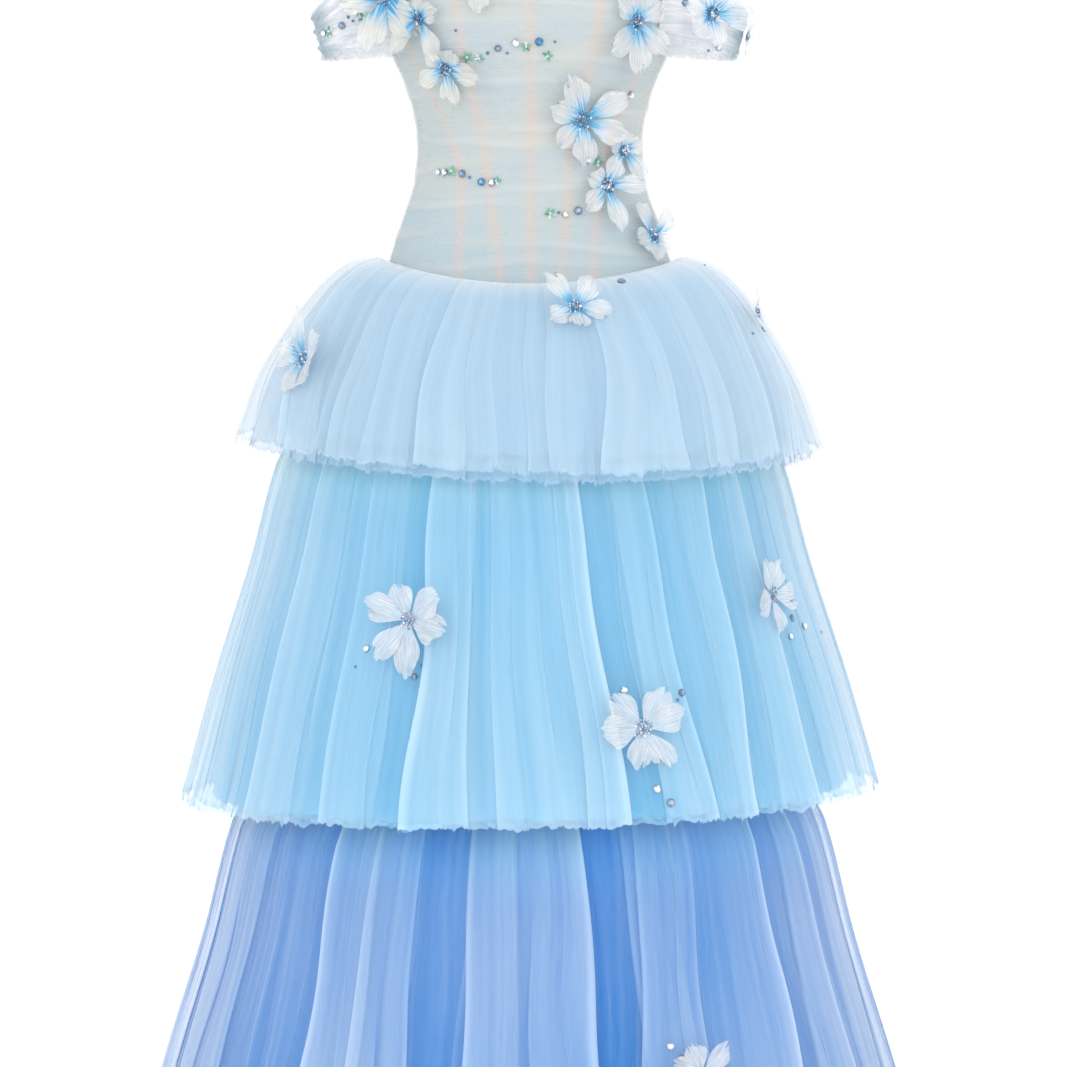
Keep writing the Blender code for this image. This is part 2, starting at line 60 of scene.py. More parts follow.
# Columns: name, place, watts, size
LIGHTS = (
    ("key", (-2.2, -3.2, 1.6), 36.0, 2.2),
    ("fill", (2.6, -2.8, 0.6), 26.0, 2.6),
    ("back", (0.4, 3.4, 1.2), 40.0, 2.6),
)
LIGHT_TARGET = Vector((0, 0, -0.4))

# The bodice's outer surface, as in the solids
# Columns: z, half_width, front, back, cup
BODICE_SECTIONS = (
    (-0.155, 0.1650, 0.1080, 0.1230, 0.000),
    (-0.121, 0.1550, 0.1020, 0.1130, 0.000),
    (-0.079, 0.1415, 0.0950, 0.1000, 0.000),
    (-0.035, 0.1270, 0.0885, 0.0890, 0.000),
    (0.000, 0.1233, 0.0870, 0.0860, 0.000),
    (0.035, 0.1255, 0.0900, 0.0870, 0.002),
    (0.075, 0.1370, 0.0985, 0.0920, 0.007),
    (0.110, 0.1520, 0.1060, 0.0970, 0.014),
    (0.150, 0.1600, 0.1090, 0.1010, 0.018),
    (0.190, 0.1630, 0.1040, 0.1020, 0.013),
    (0.240, 0.1640, 0.0960, 0.1000, 0.004),
)
CUP_AZIMUTH = 33.0
CUP_SPREAD = 19.0
# Columns: azimuth, z
NECKLINE = ((0, 0.196), (14, 0.213), (34, 0.231), (58, 0.216), (95, 0.194), (180, 0.186))
SEAM_SIDE_Z = -0.1225
SEAM_FRONT_DIP = 0.027

# The tiers' outer surfaces, ring by ring from their seams, as in the solids
# Columns: z, half_width, front, back, front_drop
TIER_RINGS = {
    "tier_1": (
        (-0.1185, 0.1560, 0.1050, 0.1150, 0.027),
        (-0.1140, 0.1790, 0.1260, 0.1400, 0.028),
        (-0.1280, 0.2100, 0.1530, 0.1690, 0.027),
        (-0.1680, 0.2480, 0.1930, 0.2090, 0.026),
        (-0.2430, 0.2950, 0.2450, 0.2580, 0.024),
        (-0.3220, 0.3220, 0.2800, 0.2900, 0.022),
    ),
    "tier_2": (
        (-0.3000, 0.2483, 0.2103, 0.2163, 0.000),
        (-0.3300, 0.2740, 0.2400, 0.2460, 0.000),
        (-0.4480, 0.3070, 0.2750, 0.2780, 0.000),
        (-0.5760, 0.3480, 0.3130, 0.3150, 0.000),
        (-0.7000, 0.3830, 0.3450, 0.3460, 0.000),
    ),
    "tier_3": (
        (-0.6860, 0.2953, 0.2643, 0.2663, 0.000),
        (-0.7250, 0.3240, 0.2920, 0.2930, 0.000),
        (-0.8620, 0.3600, 0.3260, 0.3270, 0.000),
        (-0.9990, 0.4020, 0.3630, 0.3640, 0.000),
        (-1.1350, 0.4390, 0.3970, 0.3980, 0.000),
    ),
}
# The folded edges of each tier: where the cloth laps over itself. side +1 puts the upper
# layer towards lower azimuths, and -1 towards higher ones.
# Columns: top_azimuth, hem_azimuth, lap, lift, side
LAPS = {
    "tier_1": (
        (-172, -170, 0.010, 0.009, 1), (-148, -150, 0.008, 0.007, -1), (-124, -121, 0.012, 0.010, 1),
        (-99, -97, 0.008, 0.007, -1), (-71, -56, 0.016, 0.014, -1), (-46, -41, 0.008, 0.005, -1),
        (-37, -33, 0.007, 0.005, -1), (-23, -22, 0.009, 0.008, -1), (-9, -7, 0.005, 0.003, 1),
        (4, 4, 0.005, 0.003, -1), (19, 14, 0.009, 0.008, -1), (31, 32, 0.006, 0.005, 1),
        (48, 43, 0.007, 0.005, 1), (66, 54, 0.009, 0.008, 1), (84, 64, 0.009, 0.008, 1),
        (103, 100, 0.008, 0.007, -1), (126, 128, 0.012, 0.010, 1), (151, 149, 0.009, 0.007, -1),
    ),
    "tier_2": (
        (-167, -170, 0.011, 0.011, 1), (-143, -146, 0.012, 0.012, -1), (-121, -117, 0.010, 0.010, 1),
        (-98, -97, 0.009, 0.008, -1), (-74, -72, 0.008, 0.008, -1), (-53, -52, 0.009, 0.009, -1),
        (-36, -35, 0.009, 0.009, -1), (-21, -19, 0.016, 0.018, -1), (-9, -5, 0.005, 0.003, -1),
        (9, 15, 0.016, 0.020, 1), (24, 30, 0.009, 0.010, 1), (41, 38, 0.011, 0.013, 1),
        (52, 54, 0.010, 0.010, 1), (67, 69, 0.008, 0.007, 1), (91, 90, 0.009, 0.008, -1),
        (112, 115, 0.012, 0.012, 1), (135, 133, 0.010, 0.010, -1), (157, 159, 0.012, 0.012, 1),
    ),
    "tier_3": (
        (-170, -172, 0.012, 0.013, 1), (-147, -149, 0.014, 0.016, -1), (-123, -120, 0.010, 0.012, 1),
        (-99, -97, 0.010, 0.011, -1), (-72, -70, 0.008, 0.008, -1), (-57, -56, 0.008, 0.007, 1),
        (-38, -37, 0.016, 0.022, -1), (-29, -30, 0.009, 0.008, -1), (-20, -20, 0.008, 0.009, 1),
        (-11, -10, 0.009, 0.012, -1), (9, 12, 0.018, 0.024, 1), (20, 17, 0.010, 0.010, -1),
        (31, 27, 0.008, 0.006, 1), (47, 45, 0.016, 0.020, 1), (60, 62, 0.010, 0.010, 1),
        (77, 78, 0.008, 0.008, 1), (98, 96, 0.012, 0.012, -1), (121, 123, 0.012, 0.013, 1),
        (149, 147, 0.014, 0.014, -1),
    ),
}
# Angles are in degrees. A lap grows from seam to hem, and a fade is a share of the drop.
LAP_HALF_ANGLE = 1.5
LAP_REACH_ANGLE = 5.5
LAP_SAMPLES = 15
LAP_GROWTH = (0.35, 1.0)
LAP_FADE = 0.15
LAP_OVERHANG = 0.45
# Small pleats between them: the ranges of their sizes and of their stretch from seam to hem,
# how far from a fold they keep, and how many places are tried for each
SMALL_HALF_ANGLE = 0.8
SMALL_REACH_ANGLE = 1.8
SMALL_SAMPLES = 9
SMALL_LAPS = (0.0020, 0.0045)
SMALL_LIFTS = (0.0010, 0.0030)
SMALL_STARTS = (-0.2, 0.6)
SMALL_STRETCHES = (0.3, 1.3)
SMALL_CLEARANCE = 2.4
SMALL_TRIES = 3
# The folded edge's place and width within a lap, and the lift at which its painted highlight, and the
# doubling of its cloth, are full
FOLD_PLACE = 0.46
FOLD_WIDTH = 0.22
EDGE_LIFT = 0.008

# How far the folds of each tier swerve from straight lines, in degrees
# Columns: waves_round, degrees, turns_down
BENDS = ((5, 0.7, 0.9), (13, 0.45, 1.3), (29, 0.22, 1.9))
# They swerve in full from this share of the drop
BEND_SHARE = 0.4

# A round of gathers: how much their widths differ, the range of their heights, and how round
# their crests are
GATHER_UNEVENNESS = 0.45
GATHER_HEIGHTS = (0.45, 1.0)
GATHER_ROUNDNESS = 0.8
# A ragged edge is made of two rounds of them, a broad one and a share of a fine one, less
# their usual sum
RAG_FINE_SHARE = 0.6
RAG_MIDDLE = 0.8

# The colours of each tier in display values of 0 to 255: of its valleys and crests, painted
# darker and paler as shade and light in its folds, of its inner layer, of the valleys and
# crests under the tier above, painted as the light and shade there, and of its hem, painted
# as a shade line along it
# Columns: deep, pale, base, top_shade_deep, top_shade_pale, hem
COLOURS = {
    "tier_1": (
        (168, 207, 234), (197, 220, 235), (150, 202, 238),
        (208, 229, 244), (230, 239, 246), (148, 184, 228),
    ),
    "tier_2": (
        (112, 197, 238), (186, 220, 239), (92, 196, 242),
        (118, 226, 255), (224, 248, 255), (168, 200, 226),
    ),
    "tier_3": (
        (48, 146, 224), (176, 204, 237), (24, 128, 224),
        (10, 152, 250), (184, 236, 255), (150, 180, 226),
    ),
}
# How strongly the painted light and shade of each tier's folds, with its streaks, differ, how high
# the folds stand, how many small pleats there are, and how far the hem hangs down at the +X side
# Columns: contrast, relief, pleats, tilt
FOLDS = {
    "tier_1": (0.32, 0.36, 26, 0.007),
    "tier_2": (0.78, 0.80, 44, -0.008),
    "tier_3": (1.10, 1.00, 52, 0.0),
}


def shade(colour):
    """A display colour of 0 to 255 as the linear colour that a shader takes."""
    made = []
    for value in colour:
        part = value / 255
        made.append(part / 12.92 if part <= 0.04045 else ((part + 0.055) / 1.055) ** 2.4)
    return (*made, 1.0)


def add_node(tree, kind, inputs=None, **settings):
    """A new node, whose inputs are set to values or linked to sockets."""
    node = tree.nodes.new(kind)
    for key, value in settings.items():
        setattr(node, key, value)
    for key, value in (inputs or {}).items():
        if isinstance(value, bpy.types.NodeSocket):
            tree.links.new(value, node.inputs[key])
        else:
            node.inputs[key].default_value = value
    return node


def new_material(name):
    """A new material and its empty tree."""
    made = bpy.data.materials.new(name)
    made.use_nodes = True
    made.node_tree.nodes.clear()
    return made, made.node_tree


def finish_material(made, inputs):
    """Ends the material's tree in one shader with these inputs."""
    tree = made.node_tree
    shader = add_node(tree, "ShaderNodeBsdfPrincipled", inputs)
    add_node(tree, "ShaderNodeOutputMaterial", {"Surface": shader.outputs[0]})
    return made


def attribute(tree, name):
    return add_node(tree, "ShaderNodeAttribute", attribute_name=name).outputs["Fac"]


def stretched_noise(tree, along, across, detail=3.0, roughness=0.55):
    """Noise on the cloth's own coordinates: along and across are its scales per metre."""
    uv = add_node(tree, "ShaderNodeUVMap", uv_map="cloth").outputs["UV"]
    scaled = {"Vector": uv, "Scale": (across, along, 1.0)}
    placed = add_node(tree, "ShaderNodeMapping", scaled).outputs["Vector"]
    inputs = {"Vector": placed, "Scale": 1.0, "Detail": detail, "Roughness": roughness}
    return add_node(tree, "ShaderNodeTexNoise", inputs).outputs["Fac"]


def maths(tree, operation, first, second):
    return add_node(tree, "ShaderNodeMath", {0: first, 1: second}, operation=operation).outputs[0]


def weigh(tree, *terms):
    """The sum of (value, weight) terms; a term with no value is a constant."""
    total = None
    for value, weight in terms:
        part = weight if value is None else maths(tree, "MULTIPLY", value, weight)
        total = part if total is None else maths(tree, "ADD", part, total)
    return total


def clamp(tree, value, low, high):
    return add_node(tree, "ShaderNodeClamp", {"Value": value, "Min": low, "Max": high}).outputs[0]


def fade(tree, value, start, end, low, high, shape="LINEAR"):
    """Goes from low to high while value goes from start to end."""
    inputs = {"Value": value, "From Min": start, "From Max": end, "To Min": low, "To Max": high}
    return add_node(tree, "ShaderNodeMapRange", inputs, interpolation_type=shape).outputs[0]


def bump(tree, height, strength, distance):
    inputs = {"Height": height, "Strength": strength, "Distance": distance}
    return add_node(tree, "ShaderNodeBump", inputs).outputs["Normal"]


def blend_colour(tree, factor, low, high):
    """From low to high by factor: each one is a socket or a display colour of 0 to 255."""
    low, high = (shade(end) if isinstance(end, tuple) else end for end in (low, high))
    inputs = {0: factor, 6: low, 7: high}
    return add_node(tree, "ShaderNodeMix", inputs, data_type="RGBA", clamp_factor=True).outputs[2]


def colour_ramp(tree, factor, stops):
    """Runs through the stops, each one a place from 0 to 1 and a display colour."""
    node = add_node(tree, "ShaderNodeValToRGB", {"Fac": factor})
    elements = node.color_ramp.elements
    for k, (place, colour) in enumerate((stops[0], stops[-1])):
        elements[k].position, elements[k].color = place, shade(colour)
    for place, colour in stops[1:-1]:
        elements.new(place).color = shade(colour)
    return node.outputs["Color"]


def tulle_material(tier, layer):
    """Sheer gathered tulle: streaks down the cloth, denser on the crests, with painted light on the crests
    and painted shade in the valleys.
    """
    made, tree = new_material(f"{tier}_{layer}_tulle")
    opacity, crest_gain, streak_gain = SHEERNESS[layer]
    deep, pale, base, top_shade_deep, top_shade_pale, hem = COLOURS[tier]
    contrast, *_ = FOLDS[tier]
    keys = ("crest", "edge", "down", "streak", "cloud")
    crest, edge, down, streak, cloud = (attribute(tree, key) for key in keys)
    thread = stretched_noise(tree, 30.0, 620.0, detail=1.0)
    # Painted light and shade in the folds: the crests painted paler and the valleys darker; the streaks,
    # threads and clouds are the tulle's own tone
    pattern = weigh(tree, (crest, 0.62), (streak, 0.40), (thread, 0.34), (cloud, 0.36), (None, -0.86))
    # A painted highlight along each folded edge, where the cloth also doubles and is denser
    lightness = weigh(tree, (pattern, contrast), (edge, 0.34 * contrast), (None, 0.45))
    # Near the top, under the tier above, the colours are painted light and shade: a deeper, more saturated
    # blue for the coloured shadow there, and paler colour that lifts the rendered shadow
    under_tier_shade = fade(tree, down, 0.04, 0.26, 1.0, 0.0, "SMOOTHSTEP")
    deep = blend_colour(tree, under_tier_shade, base if layer == "inner" else deep, top_shade_deep)
    pale = blend_colour(tree, under_tier_shade, pale, top_shade_pale)
    colour = blend_colour(tree, lightness, deep, pale)
    # A painted shade line along the hem, patchy with threads and clouds; the hem is also denser
    at_hem = fade(tree, down, 0.984, 0.994, 0.0, 1.0)
    hem_shade_share = maths(tree, "MULTIPLY", at_hem, weigh(tree, (thread, 0.5), (cloud, 0.8), (None, -0.2)))
    opacities = [(None, opacity - 0.5 * (crest_gain + streak_gain))]
    opacities += [(crest, crest_gain), (streak, streak_gain), (at_hem, 0.16), (edge, 0.22)]
    return finish_material(made, {
        "Base Color": blend_colour(tree, hem_shade_share, colour, hem),
        "Roughness": 0.9,
        "Specular IOR Level": 0.0,
        "Sheen Weight": 1.0,
        "Sheen Roughness": 0.6,
        "Alpha": clamp(tree, weigh(tree, *opacities), LEAST_OPACITY, 1.0),
    })


def between(ends, share):
    """From the first of two ends to the second, by a share of 0 to 1."""
    return ends[0] + (ends[1] - ends[0]) * share


def wrapped(azimuth):
    """The same direction within half a turn of the front."""
    return (azimuth + 180) % 360 - 180


def pairs(first, second):
    """Two arrays as one array of pairs."""
    return np.stack(np.broadcast_arrays(first, second), axis=-1)


def smooth_rows(rows, x):
    """The rows' other columns at each x, on smooth curves through the rows."""
    table = np.array(rows, float)
    table = table[np.argsort(table[:, 0])]
    at, values = table[:, 0], table[:, 1:]
    slopes = np.gradient(values, at, axis=0, edge_order=1)
    slopes[1:-1] = (values[2:] - values[:-2]) / (at[2:] - at[:-2])[:, None]
    x = np.clip(np.asarray(x, float), at[0], at[-1])
    i = np.clip(np.searchsorted(at, x) - 1, 0, len(at) - 2)
    span = (at[i + 1] - at[i])[..., None]
    t = (x[..., None] - at[i][..., None]) / span
    low, high = values[i], values[i + 1]
    return (
        (2 * t**3 - 3 * t**2 + 1) * low
        + (t**3 - 2 * t**2 + t) * span * slopes[i]
        + (3 * t**2 - 2 * t**3) * high
        + (t**3 - t**2) * span * slopes[i + 1]
    )


def on_section(azimuth, z, half_width, front, back, out):
    """Points on egg-shaped sections, moved out from their surface by out."""
    turn = np.radians(azimuth)
    depth = np.where(np.cos(turn) > 0, front, back)
    nx, ny = np.sin(turn) / half_width, -np.cos(turn) / depth
    length = np.hypot(nx, ny)
    x = half_width * np.sin(turn) + out * nx / length
    y = -depth * np.cos(turn) + out * ny / length
    return np.stack([x, y, np.broadcast_to(z, x.shape)], axis=-1)


def bodice_points(azimuth, z, out):
    azimuth, z = np.broadcast_arrays(np.asarray(azimuth, float), np.asarray(z, float))
    half_width, front, back, cup = np.moveaxis(smooth_rows(BODICE_SECTIONS, z), -1, 0)
    swell = cup * np.exp(-(((np.abs(wrapped(azimuth)) - CUP_AZIMUTH) / CUP_SPREAD) ** 2))
    return on_section(azimuth, z, half_width, front, back, swell + out)


def seam_height(azimuth):
    return SEAM_SIDE_Z - SEAM_FRONT_DIP * np.cos(np.radians(azimuth)) ** 2


def neckline_height(azimuth):
    return smooth_rows(NECKLINE, np.abs(wrapped(azimuth)))[..., 0]


class Gathers:
    """An uneven round of gathers: a value of 0 in each valley and up to 1 on each crest."""

    def __init__(self, count, rng):
        widths = 1 + GATHER_UNEVENNESS * rng.uniform(-1, 1, count)
        self.edges = np.concatenate([[0], np.cumsum(widths)]) / widths.sum()
        self.heights = rng.uniform(*GATHER_HEIGHTS, count)
        self.count = count

    def __call__(self, s):
        phase = np.interp(np.mod(s, 1), self.edges, np.arange(self.count + 1))
        which = np.minimum(phase.astype(int), self.count - 1)
        return self.heights[which] * np.sin(math.pi * (phase - which)) ** GATHER_ROUNDNESS


def ragged(s, counts, rng):
    """The waves of a ragged edge, broad ones and fine ones, from about -0.8 to 0.8."""
    broad, fine = (Gathers(count, rng)(s) for count in counts)
    return broad + RAG_FINE_SHARE * fine - RAG_MIDDLE


def lattice_noise(across, down, cells_across, cells_down, rng):
    """Smooth noise of 0 to 1 over a round of cloth, whose cells meet at its seam."""
    grid = rng.uniform(0, 1, (cells_down + 2, cells_across))
    x, y = across * cells_across, down * cells_down
    column, row = np.floor(x).astype(int), np.clip(np.floor(y).astype(int), 0, cells_down)
    u, v = x - column, y - row
    u, v = u * u * (3 - 2 * u), v * v * (3 - 2 * v)
    left, right = column % cells_across, (column + 1) % cells_across
    upper = grid[row, left] * (1 - u) + grid[row, right] * u
    lower = grid[row + 1, left] * (1 - u) + grid[row + 1, right] * u
    return upper * (1 - v) + lower * v


def streaks(across, down, width, length, rng):
    """Streaks of 0 to 1 down a round of cloth, from broad ones to fine ones."""
    total = 0.0
    for per_metre, down_per_metre, share in STREAK_SIZES:
        cells = max(2, round(per_metre * width)), max(1, round(down_per_metre * length))
        total = total + share * lattice_noise(across, down, *cells, rng)
    return total


class Lap:
    """One place where the cloth folds back under itself, over a stretch of the tier's height."""

    def __init__(self, row, half_angle, reach_angle, start=0.0, end=1.0):
        self.top, self.hem, self.lap, self.lift, self.side = row
        self.half_angle, self.reach_angle = half_angle, reach_angle
        self.start, self.end = start, end

    def strength(self, down):
        rising = min(1.0, max(0.0, (down - self.start) / LAP_FADE + 1.0))
        falling = min(1.0, max(0.0, (self.end - down) / LAP_FADE + 1.0))
        return between(LAP_GROWTH, down) * rising * falling


def all_laps(rows, scale, relief, pleats, rng):
    """The tier's folded edges, and small pleats that come and go between them."""
    high = scale * relief
    laps = []
    for top, hem, lap, lift, side in rows:
        laps.append(Lap((top, hem, lap * scale, lift * high, side), LAP_HALF_ANGLE, LAP_REACH_ANGLE))
    taken = [row[0] for row in rows]
    for _ in range(pleats * SMALL_TRIES):
        top = float(rng.uniform(-179, 179))
        lap, lift = rng.uniform(*SMALL_LAPS), rng.uniform(*SMALL_LIFTS)
        side = rng.choice([-1, 1])
        start, stretch = rng.uniform(*SMALL_STARTS), rng.uniform(*SMALL_STRETCHES)
        if min(abs(wrapped(top - other)) for other in taken) < SMALL_CLEARANCE:
            continue
        taken.append(top)
        row = (top, None, lap * scale, lift * high, int(side))
        laps.append(Lap(row, SMALL_HALF_ANGLE, SMALL_REACH_ANGLE, start, start + stretch))
        if len(laps) == len(rows) + pleats:
            break
    return laps


def lap_samples(laps, columns):
    """Cloth coordinates from 0 to 1, closer together where the cloth laps over itself."""
    s = list(np.arange(columns) / columns)
    for lap in laps:
        count = SMALL_SAMPLES if lap.hem is None else LAP_SAMPLES
        s += list((lap.top + 180 + np.linspace(-1, 1, count) * lap.half_angle) / 360)
    return np.append(np.unique(np.round(np.mod(s, 1), 6)), 1.0)


def lapped_azimuths(s, t, laps, half_width):
    """Azimuth, lift and nearness to a folded edge of a cloth that laps over itself."""
    led = sorted((lap.top, lap.hem) for lap in laps if lap.hem is not None)
    tops, hems = (np.array(column, float) for column in zip(*led))
    anchors = (np.concatenate([tops[-1:] - 360, tops, tops[:1] + 360]) + 180) / 360
    azimuth = np.zeros((len(t), len(s)))
    lift = np.zeros_like(azimuth)
    edge = np.zeros_like(azimuth)
    for j, down in enumerate(t):
        placed = tops + (hems - tops) * down
        placed = np.concatenate([placed[-1:] - 360, placed, placed[:1] + 360])
        azimuth[j] = np.interp(s, anchors, placed)
        for lap in laps:
            strength = lap.strength(down)
            away = ((s - (lap.top + 180) / 360 + 0.5) % 1 - 0.5) * 360
            u = away / lap.half_angle
            inside = np.abs(u) < 1
            swing = math.degrees(lap.lap * strength / 2 / half_width[j])
            swing = swing + LAP_OVERHANG * lap.half_angle * strength
            azimuth[j] -= np.where(inside, swing * np.sin(math.pi * u) * (1 - u * u), 0.0)
            edge[j] += np.exp(-(((u + FOLD_PLACE * lap.side) / FOLD_WIDTH) ** 2)) * strength * lap.lift
            beyond = np.exp(-(np.abs(away) - lap.half_angle).clip(0) / lap.reach_angle)
            step = np.where(inside, -np.sin(math.pi * u / 2), -np.sign(u) * beyond)
            lift[j] += lap.side * step * lap.lift * 0.5 * strength
    return azimuth, lift, np.clip(edge / EDGE_LIFT, 0, 1)


def fold_bend(s, down, rng):
    """How far, in degrees, the folds swerve sideways on their way down."""
    bend = np.zeros(np.broadcast_shapes(s.shape, down.shape))
    for waves, degrees, turns in BENDS:
        phase, drift = rng.uniform(0, 2 * math.pi, 2)
        across = np.sin(2 * math.pi * waves * s + phase)
        bend = bend + degrees * across * np.sin(math.pi * turns * down + drift * down)
    return bend * np.clip(down / BEND_SHARE, 0, 1)


def tier_profile(name, t):
    """The tier's ring at each t, from 0 at the seam to 1 at the hem, by length down the cloth."""
    rings = np.array(TIER_RINGS[name])
    lengths = np.hypot(np.diff(rings[:, 0]), np.diff(rings[:, 1]))
    down = np.concatenate([[0], np.cumsum(lengths)])
    rows = np.column_stack([down / down[-1], rings])
    values = smooth_rows(rows, t)
    past = np.clip(np.asarray(t) - 1, 0, None)[..., None]
    end = (rings[-1] - rings[-2]) / (lengths[-1] / down[-1])
    return values + past * end, down[-1]


def grid_faces(rows, columns):
    """The faces of a grid whose points are numbered row by row."""
    index = np.arange(rows * columns).reshape(rows, columns)
    corners = (index[:-1, :-1], index[1:, :-1], index[1:, 1:], index[:-1, 1:])
    return np.stack([corner.ravel() for corner in corners], axis=1)


def new_piece(name, points, faces, values, material, smooth=True):
    """A piece of the looks, with named values on its points."""
    mesh = bpy.data.meshes.new(name)
    mesh.from_pydata(points, [], faces)
    for key, value in values.items():
        made = mesh.attributes.new(key, "FLOAT", "POINT")
        made.data.foreach_set("value", np.asarray(value, np.float32).ravel())
    mesh.materials.append(material)
    if smooth:
        mesh.shade_smooth()
    made = bpy.data.objects.new(name, mesh)
    bpy.context.scene.collection.objects.link(made)
    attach(made, BODY)
    return made


def new_cloth(name, points, faces, uv, values, material):
    """A smooth piece of cloth, with its own coordinates in metres."""
    made = new_piece(name, points.tolist(), faces.tolist(), values, material)
    layer = made.data.uv_layers.new(name="cloth")
    layer.data.foreach_set("uv", uv[faces.ravel()].astype(np.float32).ravel())
    return made


def grid_piece(name, points, uv, values, material):
    """A piece of cloth from points[row][column]."""
    rows, columns = points.shape[:2]
    values = {key: np.broadcast_to(value, (rows, columns)) for key, value in values.items()}
    faces = grid_faces(rows, columns)
    return new_cloth(name, points.reshape(-1, 3), faces, uv.reshape(-1, 2), values, material)


def arc_lengths(points):
    return np.concatenate([[0], np.cumsum(np.linalg.norm(np.diff(points, axis=0), axis=1))])


# The layers of each tier: how far inside the outer one it hangs, its columns and rows,
# how strongly it laps, and the height of its gathers
# Columns: layer, inset, columns, rows, lap, gather
LAYERS = (
    ("outer", 0.000, 760, 26, 1.00, 1.00),
    ("middle", 0.011, 600, 20, 0.80, 0.90),
    ("inner", 0.026, 480, 14, 0.55, 0.80),
)
# How opaque each layer is, and how much more on its crests and along its streaks
# Columns: opacity, crest_gain, streak_gain
SHEERNESS = {"outer": (0.44, 0.22, 0.16), "middle": (0.48, 0.20, 0.16), "inner": (1.6, 0.0, 0.0)}
# No place is sheerer than this
LEAST_OPACITY = 0.06
# How much further inside a layer hangs at its hem, and the turn of the middle one in degrees
DEEPER_AT_HEM = 0.35
MIDDLE_TURN = 8.5
# What the crests' painted paleness, and their density, are made of: the gathers' share beside the
# laps', and how many standard deviations of height it runs over
CREST_GATHER = 0.7
CREST_RANGE = 3.8
# How much shorter each layer hangs than its tier, from the outer one in
SHORTER = {
    "tier_1": (0.007, -0.003, 0.022),
    "tier_2": (0.000, 0.002, 0.005),
    "tier_3": (0.000, 0.002, 0.005),
}
# The fine, middle and main gathers: their counts round each tier, and their heights at the
# seam and the hem
GATHER_COUNTS = {"tier_1": (210, 78, 26), "tier_2": (230, 84, 28), "tier_3": (240, 88, 30)}
FINE_GATHER = (1.5 * MM, 0.5 * MM)
MIDDLE_GATHER = (2.6 * MM, 2.2 * MM)
MAIN_GATHER = (0.0, 3.4 * MM)
# How far the gathers sway round the tier, how many times round it and on the way down
SWAY_SHARE = 0.0016
SWAY_ROUND = 3
SWAY_DOWN = 0.8
# The share of the drop over which the cloth leaves the seam, and its relief there and below
SEAM_SHARE = 0.08
SEAM_RELIEF = (0.25, 1.0)
# Rows of points crowd a little towards the hem
ROW_CROWDING = 0.85
# The ragged hem: broad and fine waves, a nick at each point, and a few hanging shreds
HEM_WAVE = 4.6 * MM
HEM_WAVE_COUNTS = (34, 97)
HEM_POWER = 6
HEM_NICK = 1.8 * MM
HEM_SHREDS = 0.03
HEM_SHRED = 5.0 * MM
# The streaks of the tulle: how many cells a metre across and down, and each size's share
# Columns: per_metre, down_per_metre, share
STREAK_SIZES = ((45, 1.2, 0.30), (90, 2.0, 0.34), (190, 3.5, 0.22), (360, 6.0, 0.14))
CLOUDS_PER_METRE = 10.0
CLOUDS_DOWN_PER_METRE = 7.0


def tier_layer(tier, layer, shorter, seed):
    """One layer of a tier: gathered, lapped over itself, and ragged at its hem."""
    name, inset, columns, rows, lap_scale, gather = layer
    _, relief, pleats, tilt = FOLDS[tier]
    rng = np.random.default_rng(seed)
    laps = LAPS[tier]
    if name == "middle":
        turned = ((top + MIDDLE_TURN, hem + MIDDLE_TURN, *sizes, -side) for top, hem, *sizes, side in laps)
        laps = tuple(row for row in turned if row[0] < 180)
    laps = all_laps(laps, lap_scale, relief, pleats, rng)
    s = lap_samples(laps, columns)
    t = np.linspace(0, 1, rows) ** ROW_CROWDING
    ring, length = tier_profile(tier, t)
    fine, middle, main = (Gathers(n, rng) for n in GATHER_COUNTS[tier])
    azimuth, lift, edge = lapped_azimuths(s, t, laps, ring[:, 1])
    down = t[:, None]
    azimuth = azimuth + fold_bend(s[None], down, rng)
    sway = SWAY_ROUND * s[None] + SWAY_DOWN * down + rng.uniform()
    sway = SWAY_SHARE * np.sin(2 * math.pi * sway)
    height = between(FINE_GATHER, down) * fine(s[None] + 0 * down)
    height = height + between(MIDDLE_GATHER, down) * middle(s[None] + sway)
    height = height + between(MAIN_GATHER, down) * main(s[None] - sway)
    height = height * gather * relief
    hanging = np.clip(down / SEAM_SHARE, 0, 1)
    inset = inset * (1 + DEEPER_AT_HEM * down)
    offset = (height - height.mean() + lift) * between(SEAM_RELIEF, hanging) - inset * hanging
    z, half_width, front, back, drop = (ring[:, k][:, None] for k in range(5))
    wave = ragged(s, HEM_WAVE_COUNTS, rng)
    nick = HEM_NICK * rng.uniform(-1, 1, len(s)) - HEM_SHRED * (rng.uniform(0, 1, len(s)) < HEM_SHREDS)
    nick[-1] = nick[0]
    hem = (HEM_WAVE * wave + shorter) * down**HEM_POWER + nick * (down > 0.999)
    hem = hem - tilt * np.sin(np.radians(azimuth)) * down**2
    z = z - drop * np.cos(np.radians(azimuth)) ** 2 + hem
    points = on_section(azimuth, z, half_width, front, back, offset)
    across = arc_lengths(points[-2])
    uv = pairs(across[None], length * down)
    # The crests' value: painted light on the crests, painted shade in the valleys, and denser cloth on the
    # crests
    raised = CREST_GATHER * height + lift
    crest = (raised - raised.mean()) / (CREST_RANGE * raised.std()) + 0.5
    width, drop_length = float(across[-1]), float(length - shorter)
    share = across[None] / width
    clouds = round(CLOUDS_PER_METRE * width), round(CLOUDS_DOWN_PER_METRE * length)
    values = {
        "crest": np.clip(crest, 0, 1),
        "down": down,
        "edge": edge,
        "streak": streaks(share, down, width, length, rng),
        "cloud": lattice_noise(share, down, *clouds, rng),
    }
    made = grid_piece(f"{tier}_{name}", points, uv, values, tulle_material(tier, name))
    return made


